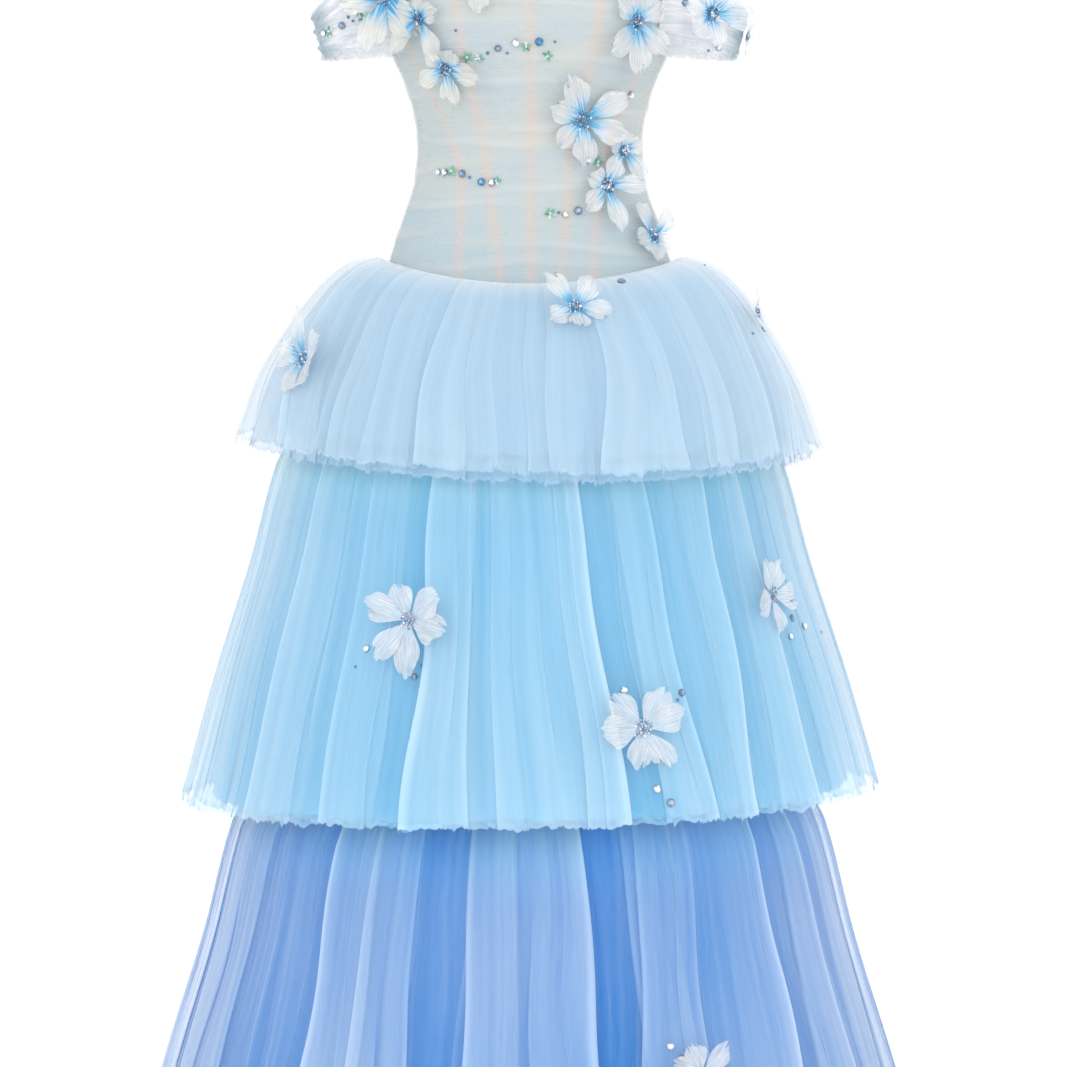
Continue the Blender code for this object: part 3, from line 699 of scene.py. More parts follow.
def make_tiers():
    for number, tier in enumerate(TIER_RINGS):
        for place, layer in enumerate(LAYERS):
            made = tier_layer(tier, layer, SHORTER[tier][place], 10 * number + place)
            if layer[0] == "outer":
                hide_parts(f"{tier}_front", f"{tier}_back")


# The weave of the lining cloths: its scales per metre, and its strength and height
WEAVE_SCALES = (500.0, 500.0)
WEAVE_BUMP = (0.2, 0.5 * MM)
# The tints of the bodice's sheer cloth, which drift into each other
# Columns: place, colour
PASTELS = (
    (0.30, (180, 196, 212)),
    (0.44, (192, 204, 207)),
    (0.56, (200, 207, 202)),
    (0.64, (210, 209, 200)),
    (0.70, (226, 208, 192)),
)


def foundation_material():
    made, tree = new_material("foundation_cloth")
    weave = stretched_noise(tree, *WEAVE_SCALES, detail=2.0)
    cloud = stretched_noise(tree, 9.0, 9.0)
    tint = blend_colour(tree, cloud, (176, 210, 232), (206, 226, 238))
    normal = bump(tree, weave, *WEAVE_BUMP)
    return finish_material(made, {"Base Color": tint, "Roughness": 0.75, "Normal": normal})


# The bones under the bodice: height, then the azimuth of each bone at that height
# Columns: z, azimuth
FRONT_BONES = (
    ((0.190, 0.0), (0.030, 0.3), (-0.150, 0.3)),
    (
        (0.190, -27.0), (0.055, -27.5), (0.020, -24.8), (-0.012, -22.8), (-0.046, -19.4),
        (-0.091, -14.6), (-0.150, -10.5),
    ),
    (
        (0.190, 26.0), (0.100, 25.9), (0.040, 23.0), (-0.019, 19.8), (-0.057, 18.3),
        (-0.091, 14.8), (-0.150, 11.4),
    ),
    (
        (0.190, -62.0), (0.070, -55.0), (0.040, -49.5), (0.014, -43.5), (-0.012, -38.3),
        (-0.080, -32.0), (-0.150, -28.0),
    ),
    (
        (0.190, 62.0), (0.070, 55.0), (0.040, 50.0), (0.000, 43.0), (-0.050, 35.0),
        (-0.100, 28.0), (-0.150, 25.0),
    ),
)
# These stand in pairs, one on each side
PAIRED_BONES = (
    ((0.190, 100.0), (0.000, 92.0), (-0.150, 88.0)),
    ((0.190, 146.0), (0.000, 142.0), (-0.150, 152.0)),
    ((0.190, 172.0), (0.000, 171.0), (-0.150, 173.0)),
)
BONES = FRONT_BONES + PAIRED_BONES + tuple(
    tuple((z, -azimuth) for z, azimuth in bone) for bone in PAIRED_BONES
)
BONE_WIDTH = 12 * MM
BONE_RELIEF = 0.5 * MM

# The soft folds of the bodice's drape: height at the centre front, slope from left to
# right, bow towards the sides, and height of the fold
# Columns: z, slope, bow, ridge
DRAPES = (
    (0.176, 0.006, 0.010, 0.0007), (0.158, -0.004, 0.012, 0.0005), (0.141, 0.003, 0.010, 0.0007),
    (0.121, 0.006, 0.008, 0.0006), (0.099, -0.002, 0.006, 0.0008), (0.077, 0.004, 0.008, 0.0005),
    (0.058, -0.005, 0.006, 0.0007), (0.043, 0.003, 0.004, 0.0006), (0.026, 0.007, 0.002, 0.0006),
    (0.008, -0.006, 0.004, 0.0008), (-0.012, 0.004, 0.006, 0.0007), (-0.027, -0.003, 0.004, 0.0008),
    (-0.041, 0.005, 0.006, 0.0006), (-0.060, -0.006, 0.008, 0.0007), (-0.079, 0.010, 0.010, 0.0005),
    (-0.101, -0.012, 0.010, 0.0007), (-0.122, 0.006, 0.012, 0.0005),
)
# A fold's reach, and how many times that its soft and its steep side reach
DRAPE_WIDTH = 5 * MM
SOFT_SIDE = 1.6
STEEP_SIDE = 0.8
# How a fold wanders up and down round the body, each fold at its own phase
# Columns: height, waves_round, phase_step
WANDERS = ((2.5 * MM, 3, 2.1), (1.2 * MM, 7, 1.3))
DRAPE_OUT = 0.2 * MM
DRAPE_ROWS = 180
# The boned layer keeps this far inside the drape, and a little short of its edges
BONED_OUT = -1.6 * MM
BONED_ROWS = 56
BONED_SHORT = (2.0 * MM, 4.0 * MM)
BODICE_POINTS = 361
# Mean radii, for the cloth's own coordinates
BODICE_RADIUS = 0.13
LINING_RADIUS = 0.24
# The skirt inside, that carries the lower tiers, with the same columns as the tiers' rings
LINING_RINGS = (
    (-0.126, 0.1540, 0.1010, 0.1120, 0.027),
    (-0.165, 0.1680, 0.1160, 0.1290, 0.018),
    (-0.225, 0.2080, 0.1560, 0.1680, 0.006),
    (-0.300, 0.2450, 0.2070, 0.2130, 0.0),
    (-0.500, 0.2670, 0.2370, 0.2390, 0.0),
    (-0.690, 0.2920, 0.2610, 0.2630, 0.0),
)
LINING_OUT = -0.5 * MM
LINING_POINTS = 145
LINING_ROWS = 26


def bone_nearness(azimuth, z):
    """1 on the bones and 0 away from them."""
    near = np.zeros_like(azimuth)
    half_width = smooth_rows(BODICE_SECTIONS, z)[..., 0]
    for bone in BONES:
        table = np.array(sorted(bone))
        placed = np.interp(z, table[:, 0], table[:, 1])
        away = wrapped(azimuth - placed) * math.pi / 180 * half_width
        near = np.maximum(near, np.exp(-((2 * away / BONE_WIDTH) ** 2)))
    return near


def bodice_grid(rows, top_inset, low_inset):
    """Azimuths, heights, cloth coordinates and shares of the way down, from neck to seam."""
    azimuth = np.linspace(-180, 180, BODICE_POINTS)
    share = np.linspace(0, 1, rows)[:, None]
    z = between((neckline_height(azimuth) - top_inset, seam_height(azimuth) - low_inset), share)
    azimuth = azimuth + 0 * z
    uv = pairs(np.radians(azimuth) * BODICE_RADIUS, -z)
    return azimuth, z, uv, share


def pastel_tints(tree, plain):
    """Pale tints that drift across the cloth in level bands, as on shot organza."""
    band = stretched_noise(tree, 20.0, 7.0, detail=2.0, roughness=0.5)
    cloud = stretched_noise(tree, 11.0, 9.0, detail=2.0)
    tints = colour_ramp(tree, band, PASTELS)
    cloudy = weigh(tree, (cloud, 0.9), (None, 0.05))
    tint = blend_colour(tree, cloudy, tints, plain)
    lower = fade(tree, attribute(tree, "low"), 0.55, 1.0, 0.0, 0.65)
    return blend_colour(tree, lower, tint, (176, 199, 209))


def boned_material():
    made, tree = new_material("boned_cloth")
    patch = stretched_noise(tree, 16.0, 12.0, detail=2.0)
    patchy = weigh(tree, (patch, 1.1), (None, 0.22))
    share = maths(tree, "MULTIPLY", attribute(tree, "bone"), patchy)
    colour = blend_colour(tree, share, pastel_tints(tree, (192, 201, 202)), (224, 194, 176))
    weave = stretched_noise(tree, *WEAVE_SCALES, detail=2.0)
    normal = bump(tree, weave, *WEAVE_BUMP)
    return finish_material(made, {"Base Color": colour, "Roughness": 0.7, "Normal": normal})


def drape_material():
    made, tree = new_material("bodice_drape_tulle")
    ridge = attribute(tree, "ridge")
    crinkle = stretched_noise(tree, 70.0, 9.0, detail=3.0, roughness=0.5)
    # The ridges of the drape's folds are painted lighter, as light on the folds; the ridges are also
    # denser, and the crinkles are the cloth's own tone
    lightness = weigh(tree, (ridge, 0.40), (crinkle, 0.5), (None, -0.02))
    return finish_material(made, {
        "Base Color": blend_colour(tree, lightness, pastel_tints(tree, (198, 207, 210)), (226, 228, 230)),
        "Roughness": 0.6,
        "Sheen Weight": 0.2,
        "Alpha": weigh(tree, (ridge, 0.22), (crinkle, 0.16), (None, 0.24)),
        "Normal": bump(tree, crinkle, 0.12, 1.0 * MM),
    })


def make_bodice():
    azimuth, z, uv, low = bodice_grid(BONED_ROWS, *BONED_SHORT)
    bone = bone_nearness(azimuth, z)
    points = bodice_points(azimuth, z, BONE_RELIEF * bone + BONED_OUT)
    made = grid_piece("bodice_foundation", points, uv, {"bone": bone, "low": low}, boned_material())

    azimuth, z, uv, low = bodice_grid(DRAPE_ROWS, 0.0, 0.0)
    turn = np.radians(azimuth)
    ridge, height = np.zeros_like(z), np.zeros_like(z)
    for k, (centre, slope, bow, size) in enumerate(DRAPES):
        line = centre + slope * np.sin(turn) - bow * (1 - np.cos(turn)) / 2
        for swing, waves, step in WANDERS:
            line = line + swing * np.sin(waves * turn + step * k)
        above = (z - line) / DRAPE_WIDTH
        fold = np.exp(-((above / np.where(above > 0, SOFT_SIDE, STEEP_SIDE)) ** 2))
        fold = fold * (0.55 + 0.45 * np.sin(2 * turn + 1.7 * k))
        ridge = np.maximum(ridge, fold)
        height = height + size * fold
    points = bodice_points(azimuth, z, height + DRAPE_OUT)
    made = grid_piece("bodice_drape", points, uv, {"ridge": ridge, "low": low}, drape_material())
    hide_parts(*[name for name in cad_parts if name.startswith("bodice_")])


def make_skirt_lining():
    azimuth = np.linspace(-180, 180, LINING_POINTS)
    z = np.linspace(LINING_RINGS[0][0], LINING_RINGS[-1][0], LINING_ROWS)[:, None]
    half_width, front, back, drop = np.moveaxis(smooth_rows(LINING_RINGS, z), -1, 0)
    lowered = z - drop * np.cos(np.radians(azimuth)) ** 2
    points = on_section(azimuth + 0 * z, lowered, half_width, front, back, LINING_OUT)
    uv = pairs(np.radians(azimuth) * LINING_RADIUS, -z)
    made = grid_piece("foundation_skirt", points, uv, {}, foundation_material())
    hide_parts("underskirt_front", "underskirt_back")


# The sleeves: bands of crinkled tulle off the shoulder, as in the solids
SLEEVE_AZIMUTHS = (60.0, 118.0)
# Their lower and upper edges: the heights at the bodice and at the arm, and how far out
SLEEVE_AT_BODICE = (0.106, 0.205)
SLEEVE_AT_ARM = (0.100, 0.150)
SLEEVE_REACH = (0.2245, 0.2375)
# How far off the bodice they start, how far they bulge forward, how their edges droop towards
# the arm, and how squarely they round it
SLEEVE_GAP = 1.8 * MM
SLEEVE_BULGE = 0.016
SLEEVE_DROOP = 1.3
SLEEVE_SQUARENESS = 0.7
# Their grid, and the flat size of their cloth coordinates
SLEEVE_POINTS = 120
SLEEVE_ROWS = 64
SLEEVE_LENGTH = 0.34
SLEEVE_HEIGHT = 0.06
SLEEVE_SEED = 71
# Crinkles along them: how many, how narrow, and the ranges of their tilts and waves
SLEEVE_CRINKLES = 11
CRINKLE_NARROWNESS = 1.9
CRINKLE_TILTS = (-0.07, 0.07)
CRINKLE_WAVES = (3, 11)
# A random phase runs over about one turn, in radians
PHASES = (0, 6.28)
# The sleeve's two layers: how far off the solid's surface, how high the crinkles, how opaque
# Columns: layer, out, crinkle, opacity
SLEEVE_LAYERS = (("tulle", 0.8 * MM, 2.2 * MM, 0.66), ("under", -1.6 * MM, 1.2 * MM, 0.80))
# The ragged lower edge: its depth, its broad and fine waves, and how close it keeps to the edge
SLEEVE_RAG = 2.6 * MM
SLEEVE_RAG_COUNTS = (17, 53)
SLEEVE_RAG_POWER = 8


def sleeve_grid(side, out, crinkle, rng):
    """Points of a sleeve, its cloth coordinates, and the values that its material reads."""
    around = np.linspace(0, 1, SLEEVE_POINTS)[None]
    up = np.linspace(1, 0, SLEEVE_ROWS)[:, None]
    reach = np.sin(math.pi * around) + 0 * up
    at_seam = between(SLEEVE_AT_BODICE, up)
    z = between((at_seam, between(SLEEVE_AT_ARM, up)), reach.clip(0) ** SLEEVE_DROOP)
    azimuth = between(SLEEVE_AZIMUTHS, around) + 0 * up
    start = bodice_points(azimuth, at_seam + 0 * around, SLEEVE_GAP)
    widest = bodice_points(90.0, at_seam[:, 0], SLEEVE_GAP)[:, 0][:, None]
    wave = np.zeros_like(z)
    for k in range(1, SLEEVE_CRINKLES + 1):
        tilt, phase, drift = (rng.uniform(*ends) for ends in (CRINKLE_TILTS, PHASES, CRINKLE_WAVES))
        line = k / (SLEEVE_CRINKLES + 1) + tilt * np.sin(drift * around + phase)
        strength = 0.5 + 0.5 * np.sin(drift * 1.7 * around + 2 * phase)
        wave = wave + strength * np.exp(-(((up - line) * SLEEVE_CRINKLES * CRINKLE_NARROWNESS) ** 2))
    x = start[..., 0] + (between(SLEEVE_REACH, up) - widest) * reach.clip(0) ** SLEEVE_SQUARENESS
    y = start[..., 1] - SLEEVE_BULGE * np.sin(2 * math.pi * around)
    across, ahead = reach, -np.cos(math.pi * around) + 0 * up
    size = np.hypot(across, ahead)
    away = out + crinkle * wave * reach
    rag = SLEEVE_RAG * ragged(around, SLEEVE_RAG_COUNTS, rng)
    z = z - rag * (1 - up) ** SLEEVE_RAG_POWER * reach
    points = np.stack([x + away * across / size, y + away * ahead / size, z], axis=-1)
    points[..., 0] *= side
    values = {"wave": np.clip(wave, 0, 1), "outer": reach, "up": up + 0 * around}
    if side < 0:
        points = points[:, ::-1]
        values = {key: value[:, ::-1] for key, value in values.items()}
    uv = pairs(around * SLEEVE_LENGTH, up * SLEEVE_HEIGHT)
    return points, uv, values


def sleeve_material(name, opacity):
    made, tree = new_material(name)
    wave = attribute(tree, "wave")
    wisp = stretched_noise(tree, 420.0, 30.0, detail=4.0, roughness=0.65)
    mottle = stretched_noise(tree, 160.0, 110.0, detail=3.0, roughness=0.6)
    # The crinkles' crests are painted lighter, as light on the crinkles; the wisps and mottling are the
    # tulle's own tone
    lightness = weigh(tree, (wave, 0.5), (wisp, 1.1), (mottle, 0.5), (None, -0.40))
    tint = blend_colour(tree, lightness, (192, 200, 212), (243, 243, 246))
    # Painted shade, mottled grey-blue, where the sleeve turns away round the arm
    patchy = weigh(tree, (mottle, 3.0), (None, -1.0))
    shade_grey = blend_colour(tree, patchy, (84, 122, 142), (190, 208, 216))
    at_edge = fade(tree, attribute(tree, "outer"), 0.72, 0.97, 0.0, 1.5)
    outer_turn_shade = maths(tree, "MULTIPLY", at_edge, weigh(tree, (mottle, 1.8), (None, -0.2)))
    low = fade(tree, attribute(tree, "up"), 0.0, 0.22, 0.75, 0.0)
    torn = maths(tree, "MULTIPLY", low, weigh(tree, (mottle, -1.6), (None, 1.55)))
    return finish_material(made, {
        "Base Color": blend_colour(tree, outer_turn_shade, tint, shade_grey),
        "Roughness": 0.6,
        "Sheen Weight": 0.2,
        "Alpha": weigh(tree, (wave, 0.15), (wisp, 0.6), (torn, -1.0), (None, opacity - 0.3)),
    })


def make_sleeves():
    rng = np.random.default_rng(SLEEVE_SEED)
    for side, name in ((-1, "sleeve_left"), (1, "sleeve_right")):
        for layer, out, crinkle, opacity in SLEEVE_LAYERS:
            piece = f"{name}_{layer}"
            points, uv, values = sleeve_grid(side, out, crinkle, rng)
            made = grid_piece(piece, points, uv, values, sleeve_material(piece, opacity))
            if layer == "tulle":
                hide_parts(name)


# Petals: cloth cut round with torn tips, white with a blue heart
PETAL_ACROSS = 13
PETAL_ALONG = 13
# A petal's width against its flower's radius, for a flower of six petals
PETAL_WIDTH = 0.60
USUAL_PETALS = 6
# The ranges that petals are drawn from: lengths and widths against the usual ones, how far
# each turns from its place in radians, where it is widest, and its lean, cup and curl
PETAL_LENGTHS = (0.80, 1.08)
PETAL_WIDTHS = (0.85, 1.15)
PETAL_TURNS = (-0.20, 0.20)
PETAL_WIDEST = (0.56, 0.68)
PETAL_LEANS = (0.03, 0.16)
PETAL_CUPS = (-0.05, 0.10)
PETAL_CURLS = (-0.05, 0.05)
# Shares of a petal's width at its root and splits, and of its length that its tears and splits
# cut off, that its rounded corners fall short, and that it arches and ripples up
PETAL_ROOT = 0.13
PETAL_TEAR = 0.10
PETAL_SPLIT = 0.26
PETAL_SPLIT_WIDTH = 0.16
PETAL_SPLIT_PLACES = (-0.7, 0.7)
PETAL_ROUNDING = 0.16
PETAL_ARCH = 0.10
PETAL_RIPPLE = 0.025
# Where a petal starts from the flower's middle, and how far the usual one passes its solid
PETAL_START = 0.06
PETAL_OVERREACH = 1.05
# The height of even petals over the cloth, and how much higher the odd ones lie
PETAL_RISE = 0.6 * MM
ODD_PETAL_RISE = 0.7 * MM
FLOWER_SEED = 23
# The beads of a heart: how many, the heart's radius on a flower of the usual width, and each
# bead's own radius
USUAL_FLOWER = 0.078
HEART_BEADS = 34
HEART_RADIUS = 8.4 * MM
HEART_BEAD_RADIUS = 1.2 * MM
# The beads' heights over the petals, from the heart's middle to its rim
HEART_RISE = (4.2 * MM, 2.4 * MM)
HEART_FINISH = {"metallic": 0.35, "roughness": 0.2}
# The solids have this many faces for each petal of a flower
POLYGONS_PER_PETAL = 24
GOLDEN_ANGLE = math.pi * (3 - math.sqrt(5))
BALL_SEGMENTS = 7
BALL_RINGS = 4
WARM_FLOWERS = ("flower_neck_left", "flower_bust_left", "flower_rib_left", "flower_neck_front")
SLEEVE_FLOWERS = ("flower_sleeve_right", "flower_cuff_right")
# Where a flower's longest petals point, in degrees from its right as seen from outside,
# how much longer they are, and how much the flower spreads beyond its solid
# Columns: angle, extra, spread
PETAL_REACHES = {
    "neck_left": (-120, 0.20, 1.0),
    "bust_left": (-85, 0.34, 1.0),
    "neck_front": (-90, 0.10, 1.0),
    "rib_left": (-60, 0.30, 1.0),
    "bust_right": (-80, 0.32, 1.05),
    "waist_right": (35, 0.12, 1.12),
    "side_right": (-75, 0.32, 1.05),
    "hip_right": (-60, 0.32, 1.05),
    "seam_right": (105, 0.36, 1.25),
    "back_left": (-70, 0.25, 1.0),
    "back_right": (60, 0.25, 1.0),
    "sleeve_right": (-20, 0.18, 1.0),
    "tier_1_front": (100, 0.20, 1.0),
    "tier_1_left": (120, 0.26, 1.28),
    "tier_1_back": (80, 0.20, 1.0),
    "tier_2_left": (-110, 0.10, 1.16),
    "tier_2_front": (60, 0.10, 1.14),
}
USUAL_REACH = (0, 0.0, 1.0)
# The flowers on the tiers stand up from the sloping cloth: how much of the slope they keep,
# and how close to the cloth a petal may come
KEPT_SLOPE = 0.35
PETAL_CLEARANCE = 0.8 * MM
# A flower whose petals would dip under its cloth, by no more than this, is moved out over it
DEEPEST_DIP = 6.0 * MM
DIP_CLEARANCE = 0.3 * MM

HEART_TONES = (
    (0.0, (40, 84, 128)), (0.3, (84, 140, 182)), (0.55, (140, 150, 178)), (0.8, (206, 208, 220)),
    (1.0, (250, 250, 252)),
)
PALE_HEART_TONES = (
    (0.0, (84, 132, 172)), (0.3, (150, 178, 206)), (0.55, (178, 176, 200)), (0.8, (222, 218, 228)),
    (1.0, (252, 250, 252)),
)


class Flower:
    """A flower's place, axes, size and petals, read from its plain CAD solid."""

    def __init__(self, node):
        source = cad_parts[node]
        corners = {tuple(round(c, 6) for c in source.matrix_world @ v.co) for v in source.data.vertices}
        corners = np.array(sorted(corners))
        self.count = round(len(source.data.polygons) / POLYGONS_PER_PETAL)
        self.centre = corners.mean(axis=0)
        reach = corners - self.centre
        self.outward = np.linalg.svd(reach)[2][2]
        if self.outward[:2] @ self.centre[:2] < 0:
            self.outward = -self.outward
        self.ex = np.cross((0, 0, 1), self.outward)
        self.ex /= np.linalg.norm(self.ex)
        self.ey = np.cross(self.outward, self.ex)
        x, y = reach @ self.ex, reach @ self.ey
        away = np.hypot(x, y)
        # The far corners are the petals' tips, so they carry the turn of the ring of petals
        wave = np.sum(away**6 * np.exp(1j * self.count * np.arctan2(y, x)))
        self.turn = float(np.angle(wave)) / self.count
        self.longest, self.extra, spread = PETAL_REACHES.get(node.removeprefix("flower_"), USUAL_REACH)
        self.radius = float(away.max()) * spread
        self.normal = self.outward
        if node.startswith("flower_tier"):
            self.normal = self.outward * (1, 1, KEPT_SLOPE)
            self.normal /= np.linalg.norm(self.normal)
            self.ey = np.cross(self.normal, self.ex)

    def place(self, x, y, high):
        """Points at x and y on the flower's plane and high over it."""
        flat = self.centre + np.multiply.outer(x, self.ex) + np.multiply.outer(y, self.ey)
        return flat + np.multiply.outer(high, self.normal)


def flower_host(node):
    """The piece that a flower is sewn to."""
    if node.startswith("flower_tier"):
        return node[len("flower_") : len("flower_tier_1")] + "_outer"
    return "sleeve_right_tulle" if node in SLEEVE_FLOWERS else "bodice_drape"


def flower_look(node):
    if node in WARM_FLOWERS:
        return "cream"
    return "pale" if node.startswith(("flower_tier_2", "flower_tier_3")) else "plain"


def petal_points(length, width, rng):
    """A petal along +X from the heart: narrow at its root, round and torn at its tip."""
    across = np.linspace(-1, 1, PETAL_ACROSS)[:, None]
    along = np.linspace(0, 1, PETAL_ALONG)[None]
    widest = rng.uniform(*PETAL_WIDEST)
    swell = np.where(
        along < widest,
        between((PETAL_ROOT, 1.0), np.sin(math.pi / 2 * along / widest) ** 1.5),
        np.sqrt(np.clip(1 - ((along - widest) / (1.10 - widest)) ** 2, 0.01, 1)),
    )
    tear = PETAL_TEAR * rng.uniform(0, 1, across.shape) ** 2
    splits = rng.uniform(*PETAL_SPLIT_PLACES, 2)
    for split in splits[: rng.integers(0, 3)]:
        notch = np.clip(1 - np.abs(across - split) / PETAL_SPLIT_WIDTH, 0, 1)
        tear = tear + PETAL_SPLIT * notch * rng.uniform(0.4, 1)
    short = PETAL_ROUNDING * (across - rng.uniform(-0.35, 0.35)) ** 2 + tear
    x = length * between((PETAL_START, 1.0), along * (1 - short * along**3))
    y = width / 2 * across * swell
    lean, cup, curl, ripple = (
        rng.uniform(*ends) for ends in (PETAL_LEANS, PETAL_CUPS, PETAL_CURLS, PHASES)
    )
    z = length * (
        PETAL_ARCH * np.sin(math.pi * 0.8 * along)
        + lean * along
        + cup * across**2 * along
        + curl * across * along
        + PETAL_RIPPLE * along**2 * np.sin(4.5 * across + ripple)
    )
    uv = pairs(y, x) + rng.uniform(0, 9, 2)
    return np.stack([x, y, z], axis=-1), uv, along + 0 * across


def petal_material(name, warmth, blueness):
    """White or cream cloth, inked blue round the heart in fine rays."""
    made, tree = new_material(name)
    reach = attribute(tree, "reach")
    vein = stretched_noise(tree, 40.0, 700.0, detail=3.0, roughness=0.6)
    ray = stretched_noise(tree, 22.0, 950.0, detail=2.0, roughness=0.5)
    patch = stretched_noise(tree, 70.0, 70.0, detail=2.0)
    pattern = weigh(tree, (vein, 1.8), (patch, 0.9), (None, -0.85))
    plain = blend_colour(tree, pattern, (190, 199, 210), (240, 240, 243))
    cream = blend_colour(tree, pattern, (198, 198, 188), (240, 236, 224))
    white = blend_colour(tree, warmth, plain, cream)
    inked = weigh(tree, (reach, -3.0), (ray, 3.4), (patch, 0.8), (None, -0.60))
    share = maths(tree, "MULTIPLY", clamp(tree, inked, 0.0, 1.0), blueness)
    depth = weigh(tree, (ray, -2.2), (reach, 1.6), (None, 1.05))
    blue = blend_colour(tree, depth, (50, 140, 190), (130, 208, 236))
    return finish_material(made, {
        "Base Color": blend_colour(tree, share, white, blue),
        "Roughness": 0.55,
        "Alpha": weigh(tree, (reach, -0.30), (vein, 0.40), (share, 0.30), (None, 0.60)),
        "Sheen Weight": 0.1,
        "Normal": bump(tree, vein, 0.5, 0.6 * MM),
    })


def bead_material(name, tones, metallic, roughness):
    made, tree = new_material(name)
    return finish_material(made, {
        "Base Color": colour_ramp(tree, attribute(tree, "tone"), tones),
        "Metallic": metallic,
        "Roughness": roughness,
        "Coat Weight": 0.5,
    })


def ball(radius):
    """A small sphere: its points and faces."""
    segments, rings = BALL_SEGMENTS, BALL_RINGS
    points = [(0, 0, radius)]
    for i in range(1, rings):
        high, wide = radius * math.cos(math.pi * i / rings), radius * math.sin(math.pi * i / rings)
        for j in range(segments):
            turn = 2 * math.pi * j / segments
            points.append((wide * math.cos(turn), wide * math.sin(turn), high))
    points.append((0, 0, -radius))
    faces = []
    for j in range(segments):
        k = (j + 1) % segments
        faces.append((0, 1 + j, 1 + k))
        for i in range(rings - 2):
            a, b = 1 + i * segments, 1 + (i + 1) * segments
            faces.append((a + j, b + j, b + k, a + k))
        faces.append((1 + (rings - 2) * segments + j, len(points) - 1, 1 + (rings - 2) * segments + k))
    return np.array(points), faces


def circle(count, ex, ey, first=0.0):
    """Pairs of directions round a circle: outward, and a quarter turn on."""
    for k in range(count):
        turn = first + 2 * math.pi * k / count
        c, s = math.cos(turn), math.sin(turn)
        yield c * ex + s * ey, c * ey - s * ex


class Cluster:
    """Small beads gathered into one mesh, each point with a tone."""

    def __init__(self):
        self.points, self.faces, self.tones = [], [], []

    def add(self, points, faces, tones):
        start = len(self.points)
        self.points += [tuple(p) for p in points]
        self.faces += [tuple(start + i for i in face) for face in faces]
        self.tones += list(np.broadcast_to(tones, len(points)))

    def make(self, name, material, smooth):
        new_piece(name, self.points, self.faces, {"tone": self.tones}, material, smooth)


def lift_over(cloth, points, outward):
    """How far a flower moves out so that none of its points lies under its cloth."""
    deepest = 0.0
    for point in points:
        place, _, _, depth = cloth.ray_cast(Vector(point), Vector(outward), DEEPEST_DIP)
        if place is not None:
            deepest = max(deepest, depth + DIP_CLEARANCE)
    return deepest


def flower_petals(flower, width, rng):
    """The petals' points, faces, cloth coordinates and shares of the way to their tips."""
    points, uv, reach = [], [], []
    for k in range(flower.count):
        angle = flower.turn + 2 * math.pi * k / flower.count + rng.uniform(*PETAL_TURNS)
        length = flower.radius * PETAL_OVERREACH * rng.uniform(*PETAL_LENGTHS)
        length *= 1 + flower.extra * math.cos(angle - math.radians(flower.longest))
        local, cloth, along = petal_points(length, width * rng.uniform(*PETAL_WIDTHS), rng)
        c, s = math.cos(angle), math.sin(angle)
        x = local[..., 0] * c - local[..., 1] * s
        y = local[..., 0] * s + local[..., 1] * c
        placed = flower.place(x, y, local[..., 2] + (PETAL_RISE + ODD_PETAL_RISE * (k % 2)))
        sunk = np.clip(PETAL_CLEARANCE - (placed - flower.centre) @ flower.outward, 0, None)
        points.append(placed + sunk[..., None] * flower.outward)
        uv.append(cloth)
        reach.append(along)
    petal, size = grid_faces(PETAL_ACROSS, PETAL_ALONG), PETAL_ACROSS * PETAL_ALONG
    faces = np.concatenate([petal + size * k for k in range(flower.count)])
    return np.reshape(points, (-1, 3)), faces, np.reshape(uv, (-1, 2)), np.ravel(reach)


def flower_heart(flower, rng):
    """Small beads in a spiral over the middle of a flower."""
    heart = Cluster()
    scale = flower.radius * 2 / USUAL_FLOWER
    for k in range(HEART_BEADS):
        share = (k + 0.5) / HEART_BEADS
        away = HEART_RADIUS * scale * math.sqrt(share) * rng.uniform(0.85, 1.12)
        angle = GOLDEN_ANGLE * k + rng.uniform(-0.25, 0.25)
        high = between(HEART_RISE, share) + rng.uniform(-0.4, 0.6) * MM
        bead, sides = ball(HEART_BEAD_RADIUS * rng.uniform(0.7, 1.35))
        place = flower.place(away * math.cos(angle), away * math.sin(angle), high)
        heart.add(bead + place, sides, rng.uniform(0, 1))
    return heart


def make_flowers():
    rng = np.random.default_rng(FLOWER_SEED)
    depsgraph = bpy.context.evaluated_depsgraph_get()
    beads = bead_material("heart_beads", HEART_TONES, **HEART_FINISH)
    pale_beads = bead_material("heart_beads_pale", PALE_HEART_TONES, **HEART_FINISH)
    looks = {
        "plain": (petal_material("petal_organza", 0.20, 1.0), beads),
        "cream": (petal_material("petal_organza_cream", 0.70, 1.0), beads),
        "pale": (petal_material("petal_organza_pale", 0.10, 0.30), pale_beads),
    }
    for node in sorted(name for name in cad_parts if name.startswith("flower_")):
        flower, host = Flower(node), flower_host(node)
        petal_cloth, heart_beads = looks[flower_look(node)]
        width = PETAL_WIDTH * flower.radius * (USUAL_PETALS / flower.count) ** 0.5
        points, faces, uv, reach = flower_petals(flower, width, rng)
        under = BVHTree.FromObject(bpy.data.objects[host], depsgraph)
        raised = lift_over(under, points, flower.outward) * flower.outward
        flower.centre = flower.centre + raised
        made = new_cloth(f"{node}_petals", points + raised, faces, uv, {"reach": reach}, petal_cloth)
        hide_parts(node)
        flower_heart(flower, rng).make(f"{node}_heart", heart_beads, True)


